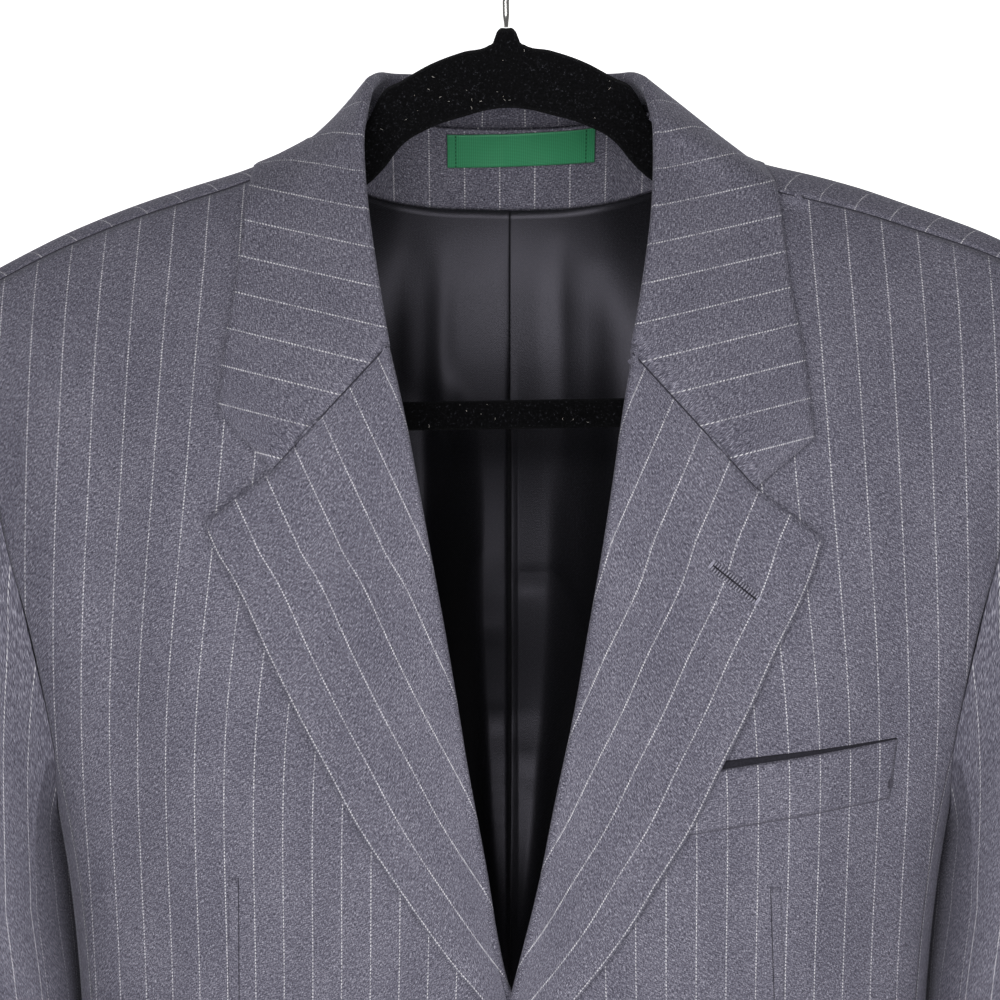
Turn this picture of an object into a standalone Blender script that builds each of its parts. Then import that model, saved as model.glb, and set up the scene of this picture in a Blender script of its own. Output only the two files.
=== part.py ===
"""A two-button blazer hanging on its flocked hanger.

Metres, +Z up, the front towards -Y and the wearer's left at +X. The origin is the inside
top of the hanger's hook, where it bears on its rail. Every cloth piece is an open sheet on
the body's shape, given its thickness by Solidify.
"""
import math

import bmesh
import bpy
import numpy as np

# ---- Driving dimensions ----
SHELL_CLOTH = 0.0016        # wall of the fronts, sleeves, collar and lapels
BACK_CLOTH = 0.0014         # wall of the backs and underarm panels, which have no canvas
TRIM_CLOTH = 0.0012         # wall of the pocket welt and the neck facing
LINING_CLOTH = 0.0010
LABEL_CLOTH = 0.0010
SEAM_GAP = 0.0004           # between two pieces at a seam
LAYER_GAP = 0.0004          # between two layers that lie on each other
INSIDE_GAP = 0.0016         # between the back and what hangs inside it
ARMHOLE_GAP = 0.0008

SHOULDER_TIP = 0.238        # half the width across the shoulders
NECK_POINT = 0.0675         # half the width of the neck hole at the shoulder seam
BODY_SQUARENESS = 2.6       # 2 is an ellipse, more is squarer
SIDE_SEAM_TURN = 71.0       # degrees round the body, 0 at the middle and 90 at the side
UNDERARM_HEIGHT = -0.437
SIDE_SEAM_TOP = -0.400
BREAK_HEIGHT = -0.556       # where the lapel's roll ends at the front edge
FOLD_RADIUS = 0.0030        # of the rolled edge of the lapels and the collar

FRONT_SLOPE = (0.170, 1.6)  # height over which the chest rounds off, and how squarely
BACK_SLOPE = (0.110, 2.0)


def table(columns, *rows):
    """Rows of sizes under named columns."""
    return {name: np.array([row[place] for row in rows], float)
            for place, name in enumerate(columns.split())}


def smooth(sizes, key, name, at):
    """Reads a column where its key has the given values, on a smooth curve through the rows."""
    order = np.argsort(sizes[key])
    keys = sizes[key][order]
    values = sizes[name][order]
    slopes = np.gradient(values, keys)
    at = np.clip(np.asarray(at, float), keys[0], keys[-1])
    row = np.clip(np.searchsorted(keys, at, side="right") - 1, 0, len(keys) - 2)
    span = keys[row + 1] - keys[row]
    part = (at - keys[row]) / span
    rest = 1.0 - part
    return (rest * rest * (1.0 + 2.0 * part) * values[row]
            + part * part * (3.0 - 2.0 * part) * values[row + 1]
            + part * rest * (rest * slopes[row] - part * slopes[row + 1]) * span)


def fade(value, start, end):
    """0 at start, 1 at end, with soft ends between them."""
    part = np.clip((np.asarray(value, float) - start) / (end - start), 0.0, 1.0)
    return part * part * (3.0 - 2.0 * part)


# ---- The hung body: level sections from the shoulders to the hem ----
BODY = table(
    "height half_width front_depth back_depth",
    (-0.100, 0.300, 0.090, 0.088),
    (-0.180, 0.272, 0.093, 0.091),
    (-0.230, 0.259, 0.095, 0.092),
    (-0.290, 0.245, 0.096, 0.091),
    (-0.345, 0.229, 0.097, 0.089),
    (-0.395, 0.214, 0.097, 0.086),
    (-0.440, 0.204, 0.096, 0.083),
    (-0.506, 0.196, 0.094, 0.078),
    (-0.550, 0.194, 0.092, 0.076),
    (-0.620, 0.199, 0.091, 0.078),
    (-0.700, 0.210, 0.092, 0.083),
    (-0.790, 0.223, 0.094, 0.088),
    (-0.885, 0.235, 0.096, 0.092),
)

# The ridge of the shoulders, from the neck out. The wearer's left hangs a little higher.
RIDGE = table(
    "across right left",
    (0.000, -0.0720, -0.0720),
    (0.030, -0.0790, -0.0790),
    (0.055, -0.0935, -0.0930),
    (0.070, -0.1045, -0.1035),
    (0.085, -0.1155, -0.1140),
    (0.100, -0.1235, -0.1220),
    (0.118, -0.1313, -0.1285),
    (0.145, -0.1400, -0.1350),
    (0.165, -0.1465, -0.1405),
    (0.190, -0.1560, -0.1490),
    (0.206, -0.1630, -0.1545),
    (0.223, -0.1715, -0.1610),
    (0.238, -0.1795, -0.1680),
    (0.270, -0.1960, -0.1840),
)

# How far below the ridge the shoulder seam runs, on its front side.
SHOULDER_SEAM = table(
    "across right left",
    (0.067, 0.0060, 0.0080),
    (0.120, 0.0080, 0.0140),
    (0.180, 0.0080, 0.0135),
    (0.238, 0.0075, 0.0110),
)

# The edge of the opening: the collar's fold, the lapel's roll, then the front edge.
# Below zero is past the middle.
OPENING = table(
    "height right left",
    (-0.0900, 0.0600, 0.0620),
    (-0.1060, 0.0625, 0.0670),
    (-0.1246, 0.0635, 0.0678),
    (-0.1550, 0.0605, 0.0660),
    (-0.1925, 0.0545, 0.0605),
    (-0.2155, 0.0505, 0.0570),
    (-0.2422, 0.0446, 0.0525),
    (-0.2755, 0.0381, 0.0478),
    (-0.3092, 0.0319, 0.0426),
    (-0.3425, 0.0258, 0.0368),
    (-0.3757, 0.0202, 0.0311),
    (-0.4203, 0.0131, 0.0218),
    (-0.4532, 0.0072, 0.0153),
    (-0.4908, 0.0007, 0.0060),
    (-0.5250, -0.0062, -0.0028),
    (-0.5560, -0.0130, -0.0120),
)
FRONT_EDGE = table(
    "height across",
    (-0.5400, -0.0150),
    (-0.7000, -0.0150),
    (-0.7600, -0.0115),
    (-0.8000, -0.0030),
    (-0.8300, 0.0110),
    (-0.8530, 0.0300),
    (-0.8720, 0.0640),
)
HEM = table(
    "turn front back",
    (0.0, -0.8690, -0.8800),
    (20.0, -0.8730, -0.8795),
    (71.0, -0.8790, -0.8785),
    (90.0, -0.8787, -0.8787),
)

# Where the armhole crosses the front and the back, in degrees round the body.
ARMHOLE = table(
    "height front back",
    (-0.170, 57.5, 57.5),
    (-0.230, 62.0, 63.0),
    (-0.290, 66.7, 67.0),
    (-0.345, 66.5, 67.0),
    (-0.400, SIDE_SEAM_TURN, SIDE_SEAM_TURN),
)

# The largest soft folds of the fronts and backs: where each runs, how wide and how proud.
BODY_FOLDS = table(
    "side top_across top bottom_across bottom half_width rise",
    (1, 0.150, -0.200, 0.128, -0.520, 0.020, 0.0030),
    (1, 0.186, -0.240, 0.160, -0.560, 0.016, -0.0030),
    (1, 0.110, -0.560, 0.135, -0.880, 0.030, 0.0040),
    (1, -0.150, -0.190, -0.135, -0.560, 0.022, 0.0030),
    (1, -0.190, -0.230, -0.158, -0.520, 0.016, -0.0028),
    (1, -0.120, -0.540, -0.150, -0.880, 0.032, 0.0040),
    (-1, 0.100, -0.170, 0.075, -0.600, 0.028, 0.0035),
    (-1, 0.160, -0.230, 0.130, -0.640, 0.020, -0.0030),
    (-1, -0.105, -0.180, -0.080, -0.560, 0.026, 0.0035),
    (-1, -0.165, -0.220, -0.135, -0.660, 0.022, -0.0030),
    (-1, 0.060, -0.600, 0.085, -0.880, 0.035, 0.0040),
    (-1, -0.070, -0.620, -0.100, -0.880, 0.035, 0.0045),
)


def ridge(across):
    """Height of the shoulder ridge."""
    return np.where(np.asarray(across) < 0.0,
                    smooth(RIDGE, "across", "right", np.abs(across)),
                    smooth(RIDGE, "across", "left", np.abs(across)))


def sided(sizes, key, at, side):
    """Reads the column of the wearer's left, where side is 1, or right, where it is -1."""
    return smooth(sizes, key, "left" if side > 0 else "right", at)


def rounding(drop, slope):
    """Share of the body's depth that is reached at a drop below the ridge."""
    length, power = slope
    part = 1.0 - np.clip(np.asarray(drop, float) / length, 0.0, 1.0)
    return (1.0 - part ** power) ** (1.0 / power)


def drop_of(run, slope):
    """Drop and depth share at a run of cloth measured from the ridge."""
    length, power = slope
    angle = np.clip(run / length, 0.0, math.pi / 2)
    below = np.maximum(run - length * math.pi / 2, 0.0)
    drop = length * (1.0 - np.cos(angle).clip(0.0) ** (2.0 / power)) + below
    return drop, np.sin(angle) ** (2.0 / power)


def run_of(drop, slope):
    """Run of cloth from the ridge that reaches a drop."""
    length, power = slope
    part = np.clip(1.0 - drop / length, 0.0, 1.0)
    return length * np.arccos(part ** (power / 2.0)) + np.maximum(drop - length, 0.0)


def turn_of(across, height):
    """Degrees round the body of a place on its front or back."""
    share = np.clip(np.abs(across) / smooth(BODY, "height", "half_width", height), 0.0, 1.0)
    return np.sign(across) * np.degrees(np.arcsin(share ** (BODY_SQUARENESS / 2.0)))


def folds(across, height, facing):
    """How far the largest folds stand out of the front (1) or back (-1)."""
    rise = np.zeros(np.broadcast(across, height).shape)
    for row in range(len(BODY_FOLDS["side"])):
        if BODY_FOLDS["side"][row] != facing:
            continue
        top = BODY_FOLDS["top"][row]
        bottom = BODY_FOLDS["bottom"][row]
        along = np.clip((height - top) / (bottom - top), 0.0, 1.0)
        start = BODY_FOLDS["top_across"][row]
        middle = start + (BODY_FOLDS["bottom_across"][row] - start) * along
        shape = np.exp(-((across - middle) / BODY_FOLDS["half_width"][row]) ** 2)
        rise = rise + BODY_FOLDS["rise"][row] * shape * np.sin(math.pi * along) ** 0.7
    return rise


def lap(across, height, side):
    """How far the wearer's right front goes back to pass under the left one."""
    if side > 0:
        return 0.0 * height
    depth = 0.0075 * fade(height, -0.400, -0.470) - 0.0040 * fade(height, -0.580, -0.640)
    return depth * fade(across, -0.110, -0.035)


def front_surface(across, height, side):
    """Depth of the fronts' outer face."""
    share = np.clip(np.abs(across) / smooth(BODY, "height", "half_width", height), 0.0, 1.0)
    reach = (1.0 - share ** BODY_SQUARENESS) ** (1.0 / BODY_SQUARENESS)
    reach = reach * rounding(ridge(across) - height, FRONT_SLOPE)
    depth = smooth(BODY, "height", "front_depth", height) + folds(across, height, 1)
    return -depth * reach + lap(across, height, side)


def back_surface(across, height):
    """Depth of the backs' outer face."""
    share = np.clip(np.abs(across) / smooth(BODY, "height", "half_width", height), 0.0, 1.0)
    reach = (1.0 - share ** BODY_SQUARENESS) ** (1.0 / BODY_SQUARENESS)
    reach = reach * rounding(ridge(across) - height, BACK_SLOPE)
    return (smooth(BODY, "height", "back_depth", height) + folds(across, height, -1)) * reach


def slant(surface, across, height, *side):
    """How much longer a step along Y is than the same step straight out of a surface."""
    step = 0.001
    rise = (surface(across, height + step, *side) - surface(across, height - step, *side)) / (2 * step)
    lean = (surface(across + step, height, *side) - surface(across - step, height, *side)) / (2 * step)
    return np.sqrt(1.0 + rise ** 2 + lean ** 2).clip(1.0, 3.5)


def on_body(turn, run, facing, side=1, inside=0.0):
    """Points at degrees round the body and a run of cloth down from the ridge.

    A run below zero on the back goes over the ridge onto the front. The points lie inside
    the outer face by the distance given.
    """
    over = run < 0.0
    front_drop, front_share = drop_of(np.abs(run), FRONT_SLOPE)
    back_drop, back_share = drop_of(np.abs(run), BACK_SLOPE)
    on_front = (facing > 0) | over
    drop = np.where(on_front, front_drop, back_drop)
    share = np.where(on_front, front_share, back_share)
    sine = np.sin(np.radians(np.abs(turn))) ** (2.0 / BODY_SQUARENESS) * np.sign(turn)
    cosine = np.cos(np.radians(turn)).clip(0.0) ** (2.0 / BODY_SQUARENESS)
    height = -0.3 + 0.0 * run
    for _ in range(12):
        across = (smooth(BODY, "height", "half_width", height) - inside) * sine
        height = ridge(across) - drop
    front = smooth(BODY, "height", "front_depth", height) + folds(across, height, 1)
    back = smooth(BODY, "height", "back_depth", height) + folds(across, height, -1)
    depth = np.where(on_front, -(front - inside), back - inside) * cosine * share
    if facing > 0:
        depth = depth + lap(across, height, side)
    return np.stack([across, depth, height], axis=-1)


def on_side(turn, height, side):
    """Points of the underarm, where turns past 90 degrees are on the back."""
    sine = np.sin(np.radians(turn)) ** (2.0 / BODY_SQUARENESS)
    cosine = np.abs(np.cos(np.radians(turn))) ** (2.0 / BODY_SQUARENESS)
    across = side * smooth(BODY, "height", "half_width", height) * sine
    front = -(smooth(BODY, "height", "front_depth", height) + folds(across, height, 1))
    back = smooth(BODY, "height", "back_depth", height) + folds(across, height, -1)
    return np.stack([across, np.where(turn < 90.0, front, back) * cosine, height], axis=-1)


def patch(top, bottom, inner, outer, down):
    """Fills four edges with rows and columns; down is each row's share of the way down."""
    across = np.linspace(0.0, 1.0, len(top))[None, :, None]
    down = np.asarray(down)[:, None, None]
    sides = (1.0 - across) * inner[:, None] + across * outer[:, None]
    ends = (1.0 - down) * top[None] + down * bottom[None]
    corners = ((1.0 - down) * ((1.0 - across) * top[0] + across * top[-1])
               + down * ((1.0 - across) * bottom[0] + across * bottom[-1]))
    return sides + ends - corners


def pair(first, second):
    """Two columns of numbers as points."""
    return np.stack(np.broadcast_arrays(first, second), axis=-1)


def trimmed(grid, top=SEAM_GAP, bottom=0.0, first=SEAM_GAP / 2, last=SEAM_GAP):
    """Draws a sheet's four edges in from the seam lines."""
    grid = grid.copy()
    for edge, inward, amount in ((0, 1, top), (-1, -2, bottom)):
        step = grid[inward] - grid[edge]
        grid[edge] += step * amount / np.linalg.norm(step, axis=-1, keepdims=True).clip(1e-6)
    for edge, inward, amount in ((0, 1, first), (-1, -2, last)):
        step = grid[:, inward] - grid[:, edge]
        grid[:, edge] += step * amount / np.linalg.norm(step, axis=-1, keepdims=True).clip(1e-6)
    return grid


# ---- Materials and objects ----
def material(name, colour, roughness, metallic=0.0):
    """A plain finish."""
    made = bpy.data.materials.new(name)
    made.use_nodes = True
    shader = made.node_tree.nodes["Principled BSDF"]
    shader.inputs["Base Color"].default_value = (*colour, 1.0)
    shader.inputs["Roughness"].default_value = roughness
    shader.inputs["Metallic"].default_value = metallic
    made.diffuse_color = (*colour, 1.0)
    return made


def add_object(name, data, finish, collection):
    """Puts a mesh or curve in the blazer's collection."""
    made = bpy.data.objects.new(name, data)
    data.materials.append(finish)
    collection.objects.link(made)
    return made


def sheet(name, grid, thickness, facing, finish, collection):
    """A cloth piece: its outer face is a grid, and its thickness goes in behind that."""
    rows, columns = grid.shape[:2]
    mesh = bpy.data.meshes.new(name)
    faces = []
    for row in range(rows - 1):
        for column in range(columns - 1):
            first = row * columns + column
            faces.append((first, first + columns, first + columns + 1, first + 1))
    mesh.from_pydata([tuple(point) for point in grid.reshape(-1, 3)], [], faces)
    total = sum((polygon.normal * polygon.area for polygon in mesh.polygons),
                start=mesh.polygons[0].normal * 0.0)
    if total.x * facing[0] + total.y * facing[1] + total.z * facing[2] < 0.0:
        mesh.flip_normals()
    mesh.shade_smooth()
    made = add_object(name, mesh, finish, collection)
    wall = made.modifiers.new("Wall", "SOLIDIFY")
    wall.thickness = thickness
    wall.offset = -1.0
    return made


# ---- Fronts, backs and underarm panels ----
ARMHOLE_ROWS = 8            # rows of cloth beside each armhole
SKIRT_ROWS = 14             # rows from the underarm to the hem
FRONT_COLUMNS = 11
BACK_SEAM_COLUMNS = 6
BACK_NECK_PLACES = (0.0, 0.0225, 0.0450, 0.0580, 0.0640)    # columns that end at the back neck
SIDE_COLUMNS = 4


def skirt_shares():
    """Shares of the way from the underarm to the hem, closer together at the hem."""
    return 1.0 - (1.0 - np.linspace(0.0, 1.0, SKIRT_ROWS + 1)) ** 1.35


def seam_run(across, side):
    """Run of cloth from the ridge to the shoulder seam, on the front."""
    return run_of(sided(SHOULDER_SEAM, "across", np.abs(across), side), FRONT_SLOPE)


def tip_turn(side):
    """Degrees round the body of the shoulder tip."""
    tip = side * SHOULDER_TIP
    height = ridge(tip) - sided(SHOULDER_SEAM, "across", SHOULDER_TIP, side)
    return abs(float(turn_of(tip, height)))


def armhole_turn(height, facing, side, top_height):
    """Degrees round the body of the armhole, starting at the shoulder tip."""
    name = "front" if facing > 0 else "back"
    turn = smooth(ARMHOLE, "height", name, height)
    start = smooth(ARMHOLE, "height", name, top_height)
    ease = fade(height, SIDE_SEAM_TOP, top_height)
    return turn + (tip_turn(side) - start) * ease ** 2


def body_rows(top_height):
    """Heights of the rows from a shoulder tip past the underarm to the hem, and their shares."""
    share = np.linspace(0.0, 1.0, ARMHOLE_ROWS + 1) ** 1.25
    upper = top_height + (SIDE_SEAM_TOP - top_height) * share
    lower = SIDE_SEAM_TOP + (HEM["front"][2] - SIDE_SEAM_TOP) * skirt_shares()[1:]
    return np.concatenate([upper, lower])


def front_panel(side):
    """Rows and columns of a front, from its opening edge to the armhole and side seam."""
    tip = side * SHOULDER_TIP
    tip_height = float(ridge(tip) - sided(SHOULDER_SEAM, "across", SHOULDER_TIP, side))
    heights = body_rows(tip_height)
    upper = heights[:ARMHOLE_ROWS + 1]
    turns = np.concatenate([armhole_turn(upper, 1, side, tip_height),
                            np.full(SKIRT_ROWS, SIDE_SEAM_TURN)])
    outer_across = side * smooth(BODY, "height", "half_width", heights) \
        * np.sin(np.radians(turns)) ** (2.0 / BODY_SQUARENESS)
    outer = pair(side * turns, run_of(ridge(outer_across) - heights, FRONT_SLOPE))
    down = (heights - heights[0]) / (heights[-1] - heights[0])

    seam_across = side * np.linspace(NECK_POINT, SHOULDER_TIP, FRONT_COLUMNS + 1)
    seam_height = ridge(seam_across) - sided(SHOULDER_SEAM, "across", np.abs(seam_across), side)
    top = pair(turn_of(seam_across, seam_height), seam_run(seam_across, side))

    edge_height = seam_height[0] + (FRONT_EDGE["height"][-1] - seam_height[0]) * down
    edge = opening_edge(edge_height, side)
    inner_run = run_of(ridge(side * edge) - edge_height, FRONT_SLOPE)
    inner = pair(turn_of(side * edge, edge_height), inner_run)
    inner[0] = top[0]
    top[-1] = outer[0]

    hem_turn = np.linspace(inner[-1, 0], outer[-1, 0], FRONT_COLUMNS + 1)
    hem_height = smooth(HEM, "turn", "front", np.abs(hem_turn))
    hem_across = np.sign(hem_turn) * smooth(BODY, "height", "half_width", hem_height) \
        * np.sin(np.radians(np.abs(hem_turn))) ** (2.0 / BODY_SQUARENESS)
    bottom = pair(hem_turn, run_of(ridge(hem_across) - hem_height, FRONT_SLOPE))
    bottom[0] = inner[-1]
    bottom[-1] = outer[-1]
    plan = patch(top, bottom, inner, outer, down)
    return on_body(plan[..., 0], plan[..., 1], 1, side)


def opening_edge(height, side):
    """Across to a front's own edge, which the roll of the lapel or collar covers."""
    cover = FOLD_RADIUS + 0.0009 + 0.0048 * fade(height, -0.245, -0.222)
    rolled = sided(OPENING, "height", height, side) + cover
    plain = smooth(FRONT_EDGE, "height", "across", height)
    below = fade(height, BREAK_HEIGHT + 0.012, BREAK_HEIGHT - 0.006)
    return rolled * (1.0 - below) + plain * below


def back_rows(side):
    """Runs of the rows of a back, at its armhole and side seam."""
    tip = side * SHOULDER_TIP
    tip_height = float(ridge(tip) - sided(SHOULDER_SEAM, "across", SHOULDER_TIP, side))
    start = -float(seam_run(tip, side))
    corner = side * float(smooth(BODY, "height", "half_width", SIDE_SEAM_TOP)) \
        * math.sin(math.radians(SIDE_SEAM_TURN)) ** (2.0 / BODY_SQUARENESS)
    end = float(run_of(ridge(corner) - SIDE_SEAM_TOP, BACK_SLOPE))
    share = np.linspace(0.0, 1.0, ARMHOLE_ROWS + 1) ** 1.15
    return start + (end - start) * share, tip_height, corner


def back_panel(side):
    """Rows and columns of a back, from the centre seam to the armhole and side seam."""
    upper, tip_height, corner = back_rows(side)
    drop, _ = drop_of(np.abs(upper), BACK_SLOPE)
    height = ridge(side * SHOULDER_TIP) - drop
    for _ in range(8):
        turn = armhole_turn(height, -1, side, tip_height)
        across = side * smooth(BODY, "height", "half_width", height) \
            * np.sin(np.radians(turn)) ** (2.0 / BODY_SQUARENESS)
        height = ridge(across) - drop
    turn[0] = tip_turn(side)
    turn[-1] = SIDE_SEAM_TURN
    lower_height = SIDE_SEAM_TOP + (HEM["back"][2] - SIDE_SEAM_TOP) * skirt_shares()[1:]
    lower_across = side * smooth(BODY, "height", "half_width", lower_height) \
        * math.sin(math.radians(SIDE_SEAM_TURN)) ** (2.0 / BODY_SQUARENESS)
    lower = run_of(ridge(lower_across) - lower_height, BACK_SLOPE)
    runs = np.concatenate([upper, lower])
    turns = np.concatenate([turn, np.full(SKIRT_ROWS, SIDE_SEAM_TURN)])
    outer = pair(side * turns, runs)
    down = (runs - runs[0]) / (runs[-1] - runs[0])

    neck_across = side * np.array(BACK_NECK_PLACES)
    neck_height = smooth(BACK_NECK, "across", "height", np.abs(neck_across))
    neck = pair(turn_of(neck_across, neck_height), run_of(ridge(neck_across) - neck_height, BACK_SLOPE))
    seam_across = side * np.linspace(NECK_POINT, SHOULDER_TIP, BACK_SEAM_COLUMNS + 1)
    seam_height = ridge(seam_across) - sided(SHOULDER_SEAM, "across", np.abs(seam_across), side)
    seam = pair(turn_of(seam_across, seam_height), -seam_run(seam_across, side))
    top = np.concatenate([neck, seam])
    top[-1] = outer[0]

    hem_turn = np.linspace(0.0, side * SIDE_SEAM_TURN, len(top))
    hem_height = smooth(HEM, "turn", "back", np.abs(hem_turn))
    hem_across = np.sign(hem_turn) * smooth(BODY, "height", "half_width", hem_height) \
        * np.sin(np.radians(np.abs(hem_turn))) ** (2.0 / BODY_SQUARENESS)
    bottom = pair(hem_turn, run_of(ridge(hem_across) - hem_height, BACK_SLOPE))
    bottom[-1] = outer[-1]
    inner = pair(np.zeros_like(down), top[0, 1] + (bottom[0, 1] - top[0, 1]) * down)
    plan = patch(top, bottom, inner, outer, down)
    return on_body(plan[..., 0], plan[..., 1], -1, side)


# The back neck seam, from the centre back to the neck point.
BACK_NECK = table(
    "across height",
    (0.000, -0.1070),
    (0.030, -0.1066),
    (0.050, -0.1052),
    (0.058, -0.1042),
    (0.064, -0.1032),
    (0.0675, -0.1028),
)


def underarm_panel(side):
    """Rows and columns of the panel under the arm, from the front's seam to the back's."""
    turns = np.linspace(SIDE_SEAM_TURN, 180.0 - SIDE_SEAM_TURN, SIDE_COLUMNS + 1)
    share = np.abs(turns - 90.0) / (90.0 - SIDE_SEAM_TURN)
    top = UNDERARM_HEIGHT + (SIDE_SEAM_TOP - UNDERARM_HEIGHT) * share ** 2
    hem = smooth(HEM, "turn", "back", np.minimum(turns, 180.0 - turns))
    front_hem = smooth(HEM, "turn", "front", turns)
    bottom = np.where(turns < 90.0, front_hem, hem)
    down = skirt_shares()[:, None]
    height = top[None] * (1.0 - down) + bottom[None] * down
    return on_side(turns[None] + 0.0 * height, height, side)


# ---- Sleeves ----
SLEEVE = table(
    "height centre_across centre_depth half_width half_depth",
    (-0.470, 0.2515, -0.004, 0.0475, 0.0640),
    (-0.520, 0.2460, -0.006, 0.0490, 0.0640),
    (-0.580, 0.2460, -0.010, 0.0485, 0.0620),
    (-0.650, 0.2520, -0.017, 0.0470, 0.0595),
    (-0.720, 0.2590, -0.026, 0.0450, 0.0570),
    (-0.800, 0.2685, -0.038, 0.0425, 0.0545),
)
SLEEVE_SQUARENESS = 2.2
SLEEVE_TWIST = 16.0         # degrees that the sleeve's front edge turns in to the body
SLEEVE_TOP_ROWS = 7         # rows from the armhole to the first level ring
SLEEVE_ROWS = 11            # rows from there to the cuff
RING_ANGLES = table(        # armhole points and their places round the level rings
    "point angle",
    (0, 0.0),
    (8, 122.0),
    (12, 238.0),
    (20, 360.0),
)
FRONT_SLEEVE_SEAM = 8       # armhole point that the front sleeve seam starts from
BACK_SLEEVE_SEAM = 14


def armhole_loop(side):
    """Points round the armhole: tip, front edge, underarm, back edge and the tip again."""
    front = front_panel(side)[:ARMHOLE_ROWS + 1, -1]
    under = underarm_panel(side)[0, 1:-1]
    back = back_panel(side)[:ARMHOLE_ROWS + 1, -1][::-1]
    return np.concatenate([front, under, back])


def sleeve_ring(height, angles, side):
    """A level section of the sleeve; angle 0 is its outer side, 90 its front."""
    across = smooth(SLEEVE, "height", "centre_across", height)[:, None]
    depth = smooth(SLEEVE, "height", "centre_depth", height)[:, None]
    half_width = smooth(SLEEVE, "height", "half_width", height)[:, None]
    half_depth = smooth(SLEEVE, "height", "half_depth", height)[:, None]
    cosine = np.cos(np.radians(angles))[None]
    sine = np.sin(np.radians(angles))[None]
    out = half_width * np.sign(cosine) * np.abs(cosine) ** (2.0 / SLEEVE_SQUARENESS)
    forward = half_depth * np.sign(sine) * np.abs(sine) ** (2.0 / SLEEVE_SQUARENESS)
    twist = math.radians(SLEEVE_TWIST)
    turned_out = out * math.cos(twist) - forward * math.sin(twist)
    turned_forward = out * math.sin(twist) + forward * math.cos(twist)
    level = height[:, None] + 0.0 * out
    return np.stack([side * (across + turned_out), depth - turned_forward, level], axis=-1)


def sleeve_seam_gap():
    """How far each sleeve piece stops short of its seams, most beside the underarm."""
    row = np.arange(SLEEVE_TOP_ROWS + SLEEVE_ROWS + 1)[:, None]
    return SEAM_GAP + 0.0014 * fade(row, 6.0, 2.0)


def sleeve(side):
    """Rows and columns of a whole sleeve, from its armhole to the cuff."""
    loop = armhole_loop(side)
    points = np.arange(len(loop))
    angles = np.interp(points, RING_ANGLES["point"], RING_ANGLES["angle"])
    heights = np.linspace(SLEEVE["height"][0], SLEEVE["height"][-1], SLEEVE_ROWS + 1)
    rings = sleeve_ring(heights, angles, side)
    first = rings[0]
    under = (1.0 - np.cos(np.radians(angles))) / 2.0
    slope = np.radians(20.0 + 52.0 * under)
    forward = -0.35 * np.sin(np.radians(angles))
    leaving = np.stack([side * np.cos(slope), forward, -np.sin(slope)], axis=-1)
    reach = np.linalg.norm(first - loop, axis=-1)[:, None]
    leaving = leaving / np.linalg.norm(leaving, axis=-1)[:, None] * reach * (0.62 + 0.4 * under)[:, None]
    arriving = np.array([0.0, 0.0, -1.0]) * reach * 0.9
    start = loop + leaving / np.linalg.norm(leaving, axis=-1)[:, None] * ARMHOLE_GAP
    rows = []
    for share in (np.linspace(0.0, 1.0, SLEEVE_TOP_ROWS + 1)[:-1]) ** 1.1:
        rest = 1.0 - share
        rows.append(start * rest * rest * (1.0 + 2.0 * share)
                    + first * share * share * (3.0 - 2.0 * share)
                    + share * rest * (rest * leaving - share * arriving))
    return np.concatenate([np.array(rows), rings])


# ---- Collar and lapels ----
# Stations run round the neck: 0 at the centre back, 3 beside the neck, 8 at the gorge.
COLLAR_FOLD = table(
    "station depth height right left",
    (0.0, 0.0620, -0.0800, 0.0000, 0.0000),
    (1.0, 0.0540, -0.0812, 0.0290, 0.0300),
    (2.0, 0.0350, -0.0835, 0.0490, 0.0505),
    (3.0, 0.0120, -0.0868, 0.0578, 0.0605),
    (3.5, -0.0040, -0.0925, 0.0608, 0.0642),
    (4.0, -0.0220, -0.1060, 0.0625, 0.0670),
    (5.0, -0.0420, -0.1250, 0.0635, 0.0678),
    (6.0, -0.0640, -0.1560, 0.0604, 0.0659),
    (7.0, -0.0800, -0.1925, 0.0545, 0.0605),
    (8.0, -0.0900, -0.2155, 0.0505, 0.0570),
)
COLLAR_EDGE = table(
    "station depth right left right_height left_height",
    (0.0, 0.0820, 0.0000, 0.0000, -0.1310, -0.1310),
    (1.0, 0.0760, 0.0480, 0.0500, -0.1315, -0.1310),
    (2.0, 0.0560, 0.0870, 0.0900, -0.1320, -0.1300),
    (3.0, 0.0200, 0.1110, 0.1150, -0.1320, -0.1300),
    (3.5, 0.0000, 0.1155, 0.1200, -0.1335, -0.1312),
    (4.0, -0.0200, 0.1168, 0.1235, -0.1400, -0.1370),
    (5.0, -0.0480, 0.1180, 0.1260, -0.1600, -0.1600),
    (6.0, -0.0680, 0.1204, 0.1285, -0.1885, -0.1910),
    (7.0, -0.0800, 0.1247, 0.1333, -0.2210, -0.2220),
    (8.0, -0.0860, 0.1262, 0.1366, -0.2474, -0.2589),
)
# Where the collar's stand meets the neck seam.
COLLAR_STAND = table(
    "station depth height right left",
    (0.0, 0.0655, -0.1055, 0.0000, 0.0000),
    (1.0, 0.0590, -0.1050, 0.0300, 0.0310),
    (2.0, 0.0390, -0.1030, 0.0525, 0.0540),
    (3.0, 0.0140, -0.1000, 0.0640, 0.0660),
    (3.5, -0.0030, -0.1015, 0.0672, 0.0703),
    (4.0, -0.0200, -0.1125, 0.0695, 0.0742),
    (5.0, -0.0370, -0.1300, 0.0704, 0.0747),
    (6.0, -0.0600, -0.1580, 0.0672, 0.0727),
    (7.0, -0.0780, -0.1935, 0.0612, 0.0672),
    (8.0, -0.0860, -0.2150, 0.0572, 0.0637),
)
NOTCH = {1: (0.1101, -0.2807), -1: (0.1014, -0.2728)}
GORGE = {1: (0.0568, -0.2180), -1: (0.0502, -0.2175)}
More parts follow.
